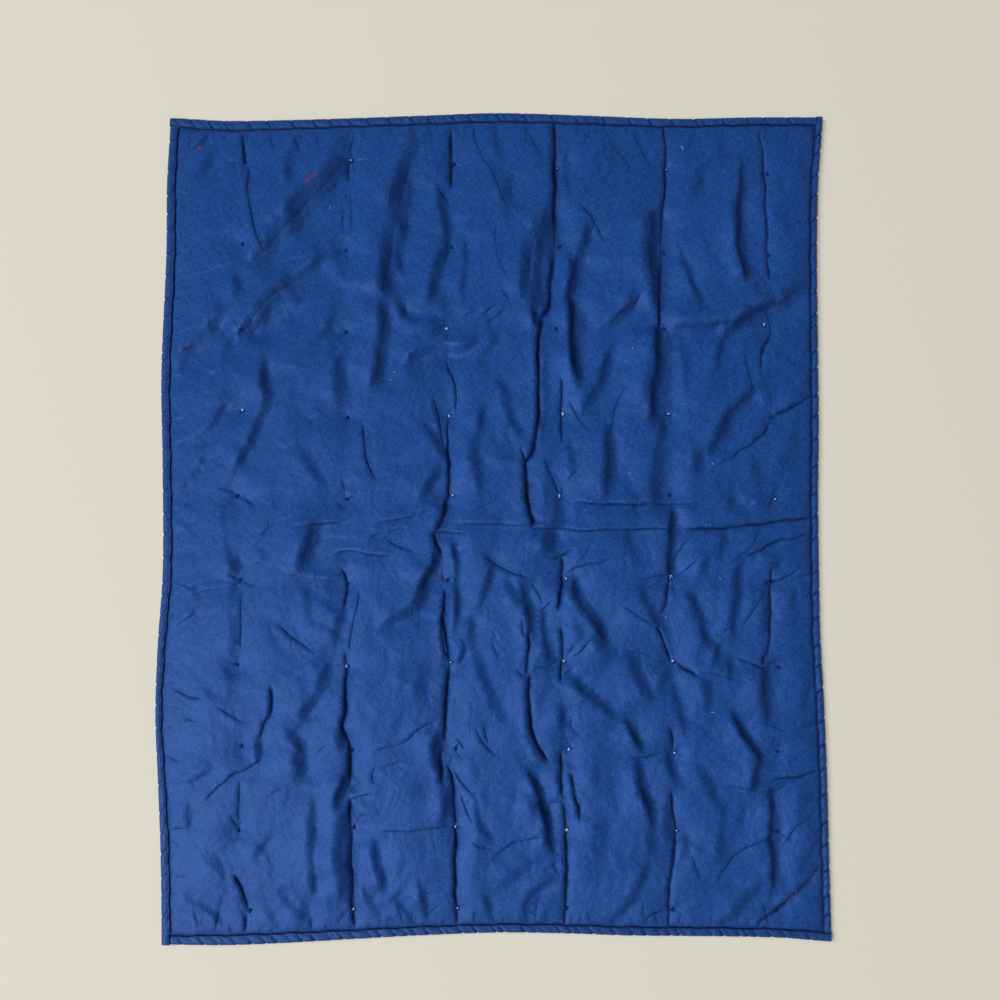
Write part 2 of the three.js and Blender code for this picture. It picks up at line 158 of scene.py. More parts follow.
# Folds that the cloth lies in, each as its depth, how wide its two walls are (left and right of a
# fold that is written from the top down), and the places it runs through.
PLEATS = [
    # down the first column of ties
    (5, 2, 2.6, [(-348, 548), (-346, 500)]),
    (4.5, 2, 2.6, [(-303, -220), (-304, -262), (-312, -275), (-317, -293)]),
    (5, 2, 2.4, [(-351, -476), (-342, -497), (-336, -515), (-331, -528)]),
    (4, 1.8, 2, [(-334, -530), (-337, -562)]),
    # down the second column
    (4.5, 1.8, 2.4, [(-200, 507), (-201, 476)]),
    (4.5, 1.6, 2.2, [(-207, -62), (-201, -76), (-200, -100), (-204, -120)]),
    (7.5, 2.4, 3, [(-199, -193), (-200, -205), (-201, -240), (-202, -265), (-205, -278), (-200, -292),
                   (-195, -307), (-194, -325), (-194, -345), (-195, -364)]),
    (6, 3.6, 3.6, [(-199, -347), (-205, -360), (-210, -371), (-211, -381)]),
    (7.5, 2.2, 3, [(-195, -376), (-194, -397), (-192, -415), (-192, -455), (-190, -492),
                   (-190, -520), (-187, -552)]),
    # down the third column
    (6, 2.4, 3, [(-57, 552), (-57, 468)]),
    (4.5, 1.5, 2, [(-60, 152), (-61, 125), (-61, 100), (-59, 78)]),
    (7, 2.3, 2.8, [(-60, 92), (-59, 70), (-59, 50), (-61, 33)]),
    (8, 4.4, 3.4, [(-61, 38), (-65, 17), (-70, 0), (-78, -13)]),
    (7, 4, 3, [(-79, -9), (-76, -27), (-71, -38), (-68, -48)]),
    (6, 3.2, 3.8, [(-79, -40), (-79, -58), (-86, -68), (-93, -80)]),
    (7, 2.3, 3, [(-65, -88), (-66, -107), (-66, -120), (-65, -145), (-62, -165), (-57, -188)]),
    (3.5, 3.6, 2, [(-68, -120), (-69, -145), (-66, -170), (-60, -187)]),
    (7.5, 2.6, 2.8, [(-58, -194), (-61, -215), (-62, -240), (-64, -260), (-64, -285), (-63, -304)]),
    (8, 4.2, 4.4, [(-66, -300), (-69, -320), (-68, -335), (-69, -357)]),
    (4.5, 4, 4, [(-72, -290), (-77, -307), (-75, -332)]),
    (7, 2.2, 3, [(-61, -330), (-55, -345), (-52, -367), (-50, -392), (-49, -413)]),
    (7.5, 2.4, 3, [(-50, -412), (-49, -430), (-50, -455), (-50, -480), (-50, -505), (-47, -525),
                   (-49, -552)]),
    # beside the fourth column, half the height of the cloth
    (9, 4, 5, [(88, 568), (88, 440), (87, 400), (85, 360), (82, 330), (79, 300), (68, 284)]),
    (4.5, 3, 3, [(56, 303), (58, 287), (63, 268)]),
    (8.5, 2.8, 3.6, [(72, 288), (65, 262), (64, 225), (64, 150), (61, 120), (56, 100), (47, 84)]),
    (4, 2.4, 2.4, [(40, 104), (47, 86)]),
    (9, 4.2, 4.8, [(47, 92), (48, 60), (49, 40), (52, 22), (57, 0)]),
    (6.5, 4, 4, [(57, 14), (57, -7)]),
    (4, 1.4, 1.8, [(97, 203), (97, 160), (96, 113)]),
    (6, 4, 4, [(112, 304), (112, 275), (112, 250), (112, 224)]),
    (4.5, 1.9, 2, [(79, -49), (97, -44), (113, -35)]),
    (7, 2.6, 3.2, [(97, -44), (97, -65), (97, -82), (94, -98), (90, -119)]),
    (4.8, 4.4, 4, [(43, -88), (47, -104), (51, -122), (52, -140), (52, -158)]),
    (3, 2.4, 2.4, [(42, -127), (44, -157)]),
    (5.5, 2, 2.5, [(51, -150), (51, -175), (49, -187), (47, -208)]),
    (8.5, 3.2, 4, [(52, -206), (51, -235), (52, -260), (56, -285), (61, -300), (68, -313), (78, -326)]),
    (5, 1.6, 2.2, [(96, -141), (97, -165), (97, -188), (95, -207), (94, -219)]),
    (6.5, 2.8, 3.3, [(96, -311), (95, -330), (95, -350), (97, -372)]),
    (6.5, 3.4, 4, [(109, -340), (112, -360), (117, -380), (120, -392), (119, -407)]),
    (7.5, 2.4, 3, [(99, -384), (101, -405), (102, -420), (102, -455), (102, -492), (101, -517),
                   (100, -555)]),
    (5.5, 3.4, 3.6, [(52, -344), (60, -357), (66, -372), (70, -387), (74, -405), (77, -425), (81, -442)]),
    # down the fifth column
    (6, 2.4, 3, [(240, 564), (243, 520), (243, 495), (240, 450), (237, 420), (236, 390), (235, 340),
                 (233, 300), (234, 270)]),
    (5.5, 5, 3.4, [(230, 270), (230, 250), (231, 225), (228, 200), (224, 175), (222, 148)]),
    (5.5, 3.8, 4, [(249, 13), (247, -10), (246, -27), (245, -45), (246, -72)]),
    (4.5, 2.8, 3, [(246, -76), (242, -97), (239, -112), (232, -128)]),
    (5, 1.8, 2.2, [(222, -140), (230, -147), (235, -160), (240, -172), (248, -189)]),
    (5, 1.9, 2.4, [(250, -189), (265, -199), (275, -204), (285, -209)]),
    (5, 2.4, 3, [(242, -278), (249, -295), (249, -312)]),
    (6.5, 2.1, 2.8, [(245, -365), (248, -387), (251, -407), (252, -425), (250, -445), (247, -465),
                     (244, -487), (242, -517), (243, -555)]),
    # down the sixth column
    (4.5, 2, 2.6, [(373, 550), (379, 515), (381, 480), (382, 440), (384, 410), (385, 338)]),
    (4.5, 1.8, 2.4, [(381, 303), (386, 280), (387, 260), (380, 247), (375, 235), (372, 213)]),
    (3.5, 1.9, 2.4, [(388, 142), (377, 125), (365, 115), (355, 107), (345, 102), (330, 87)]),
    (6, 2.4, 3, [(385, -60), (385, -85), (384, -102), (384, -125), (383, -145), (381, -167),
                 (375, -182), (370, -195)]),
    (5, 5, 4.4, [(375, -204), (372, -227), (375, -250), (376, -264)]),
    (5, 4, 3.4, [(381, -368), (382, -390), (382, -410), (381, -430), (384, -455), (381, -492)]),
    (5, 10, 9, [(72, 421), (60, 395), (52, 363), (54, 330), (66, 298)]),
    (5, 7, 7, [(112, 369), (109, 335), (109, 300), (111, 262), (115, 228), (121, 195)]),
    (5, 8, 8, [(216, 425), (218, 395), (220, 365), (224, 335), (229, 305)]),
    (5, 10, 9, [(232, 262), (230, 238), (226, 212), (220, 190), (213, 172)]),
    (5, 6, 6, [(338, 448), (341, 420), (343, 395), (347, 372), (354, 347)]),
    (4, 5, 5, [(197, 318), (188, 298), (176, 284), (156, 273)]),
    # broad drags across the cells, upper half
    (5.5, 9.5, 8.5, [(-205, 504), (-233, 472), (-256, 447), (-274, 428), (-292, 406), (-310, 385),
                     (-332, 364)]),
    (5, 7, 7, [(-236, 366), (-256, 351), (-276, 336), (-296, 322), (-314, 305), (-330, 284), (-345, 262)]),
    (4, 6, 6, [(-268, 302), (-290, 296), (-308, 285), (-322, 270)]),
    (5, 10, 10, [(-118, 488), (-126, 455), (-133, 420), (-141, 375), (-150, 325)]),
    (5, 5.5, 5.5, [(-152, 304), (-150, 270), (-154, 240), (-157, 215), (-164, 193)]),
    (4, 4.5, 4.5, [(135, 412), (125, 380), (120, 360), (115, 340), (108, 320), (108, 302)]),
    (4, 3.6, 4, [(348, 502), (346, 470), (342, 410), (340, 390), (345, 365), (350, 343)]),
    (5.5, 6, 5, [(450, 330), (432, 326), (415, 318), (403, 306), (388, 299), (370, 297)]),
    (5.5, 5.5, 4.6, [(384, 303), (362, 292), (345, 282), (328, 277), (300, 274), (275, 272), (256, 272)]),
    (4, 4, 4, [(352, 286), (340, 274), (330, 264), (316, 259)]),
    (6, 5.5, 5, [(358, 182), (342, 165), (327, 150), (320, 135), (312, 120), (304, 100)]),
    (5, 2.4, 3, [(449, 182), (435, 172), (420, 162), (405, 156), (390, 149)]),
    (4.5, 5.4, 5.4, [(164, 240), (157, 217), (150, 195), (140, 177), (130, 164)]),
    (5, 5.6, 5.6, [(160, 129), (161, 75), (158, 46)]),
    # broad drags across the cells, lower half
    (4.5, 6, 6, [(-244, -3), (-251, -27), (-257, -45), (-262, -60)]),
    (5.5, 5, 4.6, [(114, -80), (115, -95), (125, -112), (135, -127), (147, -142), (153, -153)]),
    (4.5, 1.8, 2.2, [(442, -12), (430, -16), (415, -21), (400, -22), (385, -27), (372, -35),
                     (362, -41), (350, -44)]),
    (5.5, 2, 2.4, [(447, 8), (420, 6), (395, 3), (380, 0), (355, -2), (335, -5), (315, -7),
                   (295, -7), (280, -8), (266, -6)]),
    (4, 1.6, 2, [(337, -184), (355, -192), (367, -197), (380, -197), (387, -190)]),
    (4.5, 3.4, 3.4, [(185, -271), (192, -285), (203, -304)]),
    (5, 4.2, 4.8, [(199, -329), (202, -350), (207, -367), (215, -390), (220, -413)]),
    (5.5, 3.8, 4, [(330, -262), (340, -280), (350, -297), (357, -307), (366, -319)]),
    (5.5, 4.4, 4.2, [(366, -316), (361, -337), (357, -359)]),
    (5, 2, 2.4, [(451, -337), (430, -344), (415, -347), (400, -349), (384, -350)]),
    (4, 1.8, 2.2, [(244, -527), (230, -529), (217, -535), (208, -548)]),
    (6.5, 2.6, 3, [(452, -466), (430, -490), (417, -502), (402, -517), (387, -530), (370, -542),
                   (359, -553)]),
    (8.5, 5.2, 5.2, [(441, -482), (425, -495), (410, -509), (395, -523), (382, -535)]),
]

# Soft troughs: depth, half width, places.
TROUGHS = [
    # upper left
    (2.5, 5, [(-385, 520), (-400, 502), (-415, 482), (-425, 470), (-437, 461)]),
    (2, 4, [(-268, 540), (-278, 522), (-283, 500), (-282, 478)]),
    (2, 4.5, [(-215, 546), (-205, 527)]),
    (2, 4, [(-355, 341), (-348, 317)]),
    (1.4, 5, [(-275, 446), (-275, 405)]),
    (4, 6.5, [(-372, 286), (-388, 275), (-402, 259), (-418, 240), (-436, 216)]),
    (2, 3.6, [(-357, 258), (-365, 248), (-374, 234)]),
    (2.2, 4, [(-361, 171), (-375, 155), (-385, 140), (-397, 125), (-413, 111)]),
    (2.6, 4.5, [(-316, 223), (-315, 200), (-310, 180), (-313, 160), (-322, 140), (-332, 118),
                (-340, 98), (-351, 81)]),
    (1.5, 3.6, [(-380, 105), (-398, 88), (-410, 72), (-431, 44)]),
    (2.4, 6.5, [(-215, 236), (-210, 200), (-212, 169)]),
    (1.8, 4.5, [(-219, 281), (-240, 258), (-251, 244)]),
    (1.6, 3.6, [(-262, 101), (-250, 80), (-234, 59)]),
    # upper middle
    (2.6, 4, [(-75, 461), (-67, 430), (-62, 391)]),
    (3.4, 5, [(-62, 381), (-75, 362), (-80, 340), (-84, 314)]),
    (2, 3.6, [(-38, 396), (-38, 365), (-42, 319)]),
    (2.8, 6, [(-115, 552), (-112, 520), (-122, 500), (-130, 480), (-138, 451)]),
    (2, 5, [(-125, 426), (-121, 399)]),
    (1.8, 4, [(-147, 386), (-148, 319)]),
    (1.5, 3.2, [(-130, 371), (-126, 349)]),
    (1.6, 3.2, [(0, 556), (5, 530), (8, 514)]),
    (2.4, 6.5, [(20, 482), (22, 449)]),
    (2.6, 7, [(79, 440), (74, 400), (70, 370), (66, 340), (61, 308)]),
    (1.8, 4, [(50, 371), (45, 350), (42, 314)]),
    (2, 3.6, [(105, 521), (103, 480), (108, 459)]),
    (2, 5, [(70, 264), (71, 200), (70, 150), (66, 117)]),
    (1.8, 4, [(112, 226), (117, 213), (122, 193)]),
    (4, 5.6, [(-117, 224), (-102, 234), (-86, 241), (-65, 242), (-50, 240), (-36, 243), (-24, 254)]),
    (2.2, 4, [(-18, 224), (-10, 237), (-2, 246), (6, 258)]),
    (3.2, 4.4, [(-128, 304), (-123, 290), (-108, 283), (-92, 282), (-79, 285)]),
    (2.6, 3.6, [(-92, 133), (-82, 121), (-72, 107), (-65, 94)]),
    (2.6, 4.4, [(-71, 76), (-85, 55), (-96, 37)]),
    (1.8, 4, [(-10, 161), (-17, 135), (-22, 112), (-22, 88), (-17, 60), (-15, 44)]),
    (1.8, 4, [(7, 196), (20, 180), (20, 168), (25, 150), (35, 132), (42, 119)]),
    (1.8, 4, [(109, 108), (110, 85), (112, 71)]),
    (2.4, 5, [(97, 33), (82, 28), (64, 26)]),
    (3, 6.5, [(95, 24), (93, 10), (90, -2)]),
    # upper right
    (3, 7, [(226, 432), (227, 390), (228, 360), (230, 330), (230, 303)]),
    (2.2, 3.4, [(263, 379), (268, 362), (275, 345), (280, 330), (287, 318), (287, 299)]),
    (1.4, 5, [(300, 501), (290, 485), (280, 454)]),
    (1.4, 5, [(310, 546), (318, 530), (320, 514)]),
    (1.5, 5, [(430, 511), (440, 480), (446, 449)]),
    (1.2, 5, [(405, 441), (416, 399)]),
    (2, 4, [(355, 286), (348, 283), (338, 279)]),
    (2, 4, [(327, 253), (315, 237), (312, 220), (304, 209)]),
    (2, 6, [(437, 201), (446, 189)]),
    (2.6, 4.4, [(235, 143), (236, 125), (232, 112)]),
    (2.2, 6, [(227, 99), (227, 75), (224, 55), (227, 29)]),
    (2.4, 5.4, [(291, 108), (285, 87), (281, 66)]),
    (2, 5, [(420, 126), (415, 110), (401, 81)]),
    (1.4, 4, [(365, 86), (367, 59)]),
    (2.2, 5, [(344, 36), (362, 22), (374, 27)]),
    (1.6, 4, [(327, 36), (327, 16)]),
    (1.6, 5, [(262, 255), (268, 235), (270, 200)]),
    # middle left
    (2.4, 4, [(-362, -39), (-355, -50), (-351, -69)]),
    (1.8, 4.4, [(-203, -117), (-210, -140), (-217, -164)]),
    (2.6, 5.6, [(-224, -194), (-232, -215), (-237, -230), (-250, -250), (-261, -266)]),
    (1.4, 4.4, [(-255, -89), (-251, -126)]),
    (0.9, 3.4, [(-350, -125), (-353, -150), (-352, -176)]),
    (4, 6, [(-84, -64), (-93, -78), (-97, -92), (-98, -104), (-104, -114), (-116, -121),
            (-132, -130), (-147, -140)]),
    # middle
    (2.6, 3.4, [(-54, -29), (-49, -60), (-49, -95), (-48, -120), (-50, -141)]),
    (3, 3, [(-40, -161), (-40, -175), (-45, -191)]),
    (1.8, 6, [(-92, -198), (-93, -212), (-103, -234)]),
    (2, 3.4, [(-10, -46), (-2, -62), (-5, -80), (-10, -97), (-18, -111)]),
    (2.2, 4, [(19, -81), (30, -97), (41, -113)]),
    (1.6, 4.4, [(-30, -129), (-25, -175), (-15, -200), (-5, -225), (1, -251)]),
    (1.4, 4, [(10, -254), (16, -278)]),
    (2.4, 3, [(70, -124), (70, -156)]),
    (2.4, 3.4, [(74, -159), (75, -181)]),
    (3, 7, [(139, -154), (152, -165), (166, -176)]),
    (3, 4.6, [(111, -209), (122, -225), (135, -237), (147, -245), (165, -260)]),
    (2.4, 3.4, [(95, -254), (96, -279)]),
    (4, 7, [(80, -10), (79, -25), (80, -42)]),
    (2, 5, [(120, -155), (118, -140)]),
    # middle right
    (2.6, 4, [(207, -94), (212, -112), (222, -127), (231, -141)]),
    (2.6, 4.4, [(266, -97), (275, -102), (280, -115), (285, -132), (291, -150), (301, -164)]),
    (3, 6, [(189, -184), (200, -205), (207, -222), (218, -241)]),
    (2.4, 3.6, [(250, -226), (255, -250), (260, -265), (264, -283)]),
    (2.2, 4.4, [(289, -214), (295, -230), (295, -251)]),
    (1.8, 4, [(297, -44), (289, -66)]),
    (1.6, 4, [(319, -9), (315, -35), (312, -56)]),
    (3, 4.6, [(343, -56), (337, -72), (336, -90), (335, -107), (331, -130), (330, -153)]),
    (2.2, 5, [(392, -50), (386, -64)]),
    (2.4, 6, [(377, -98), (376, -152)]),
    (2.2, 4, [(326, -184), (325, -211)]),
    (2.2, 3, [(311, -169), (305, -188)]),
    (1.8, 4.4, [(415, -94), (416, -131)]),
    (2, 5, [(440, -19), (439, -56)]),
    (2, 5, [(432, -214), (430, -256)]),
    (2, 4.4, [(241, -199), (240, -212), (226, -226)]),
    (2, 6, [(186, -15), (193, -38), (202, -60)]),
    # lower left
    (3, 4, [(-208, -285), (-205, -304)]),
    (3.4, 7.5, [(-201, -393), (-202, -420), (-205, -455), (-202, -480), (-200, -510)]),
    (3, 4, [(-161, -438), (-158, -455), (-152, -478), (-149, -498)]),
    (2.4, 4.4, [(-172, -499), (-165, -520), (-156, -533)]),
    (1.8, 4, [(-283, -284), (-267, -297), (-254, -313)]),
    (3, 5.6, [(-265, -311), (-264, -325), (-261, -337), (-268, -348)]),
    (2.4, 3, [(-317, -291), (-320, -312), (-320, -322)]),
    (2, 3.6, [(-386, -336), (-402, -347), (-418, -356)]),
    (2.6, 4, [(-418, -504), (-407, -515), (-392, -525), (-377, -535), (-364, -548)]),
    (2, 3.4, [(-406, -539), (-387, -552), (-379, -562)]),
    (1.8, 3, [(-417, -384), (-414, -413)]),
    (1.6, 4.4, [(-260, -514), (-250, -546)]),
    (2, 4.4, [(-288, -504), (-267, -530), (-254, -546)]),
    (2, 5, [(-316, -514), (-300, -535), (-289, -546)]),
    (1.4, 3.4, [(-301, -426), (-320, -451)]),
    (1.4, 5, [(-388, -454), (-366, -476)]),
    (2, 4, [(-244, -380), (-246, -440), (-242, -500)]),
    # lower middle
    (3, 4.4, [(-63, -361), (-61, -380), (-65, -403)]),
    (2, 3.4, [(-21, -386), (-15, -412), (-4, -428)]),
    (2.4, 3, [(-99, -494), (-92, -515), (-90, -538)]),
    (2, 3.4, [(-131, -516), (-117, -530), (-105, -546)]),
    (2.6, 3, [(-9, -509), (-5, -525), (-1, -541)]),
    (2.6, 3.4, [(80, -486), (60, -500), (47, -515), (49, -546)]),
    (2.2, 3.4, [(71, -536), (64, -551)]),
    (1.8, 5, [(51, -464), (30, -480), (14, -493)]),
    (3, 6, [(57, -370), (62, -401)]),
    (1.4, 7, [(150, -404), (147, -456)]),
    # lower right
    (2.8, 3.8, [(242, -317), (245, -335), (256, -354)]),
    (2.2, 5, [(240, -384), (241, -431)]),
    (2, 4.4, [(214, -421), (219, -446)]),
    (2, 3, [(262, -424), (265, -440), (262, -451)]),
    (2.8, 4, [(210, -466), (200, -492), (187, -515), (175, -530), (164, -541)]),
    (1.8, 4.4, [(286, -336), (297, -355), (305, -375), (318, -391)]),
    (1.6, 4, [(344, -384), (336, -411)]),
    (1.5, 6, [(310, -429), (315, -461)]),
    (3.4, 5, [(366, -486), (352, -505), (340, -517), (325, -535), (315, -545), (304, -552)]),
    (2, 4, [(442, -366), (419, -391)]),
    (2, 3.6, [(446, -436), (432, -450), (424, -466)]),
    (1.6, 4, [(445, -304), (419, -316)]),
]

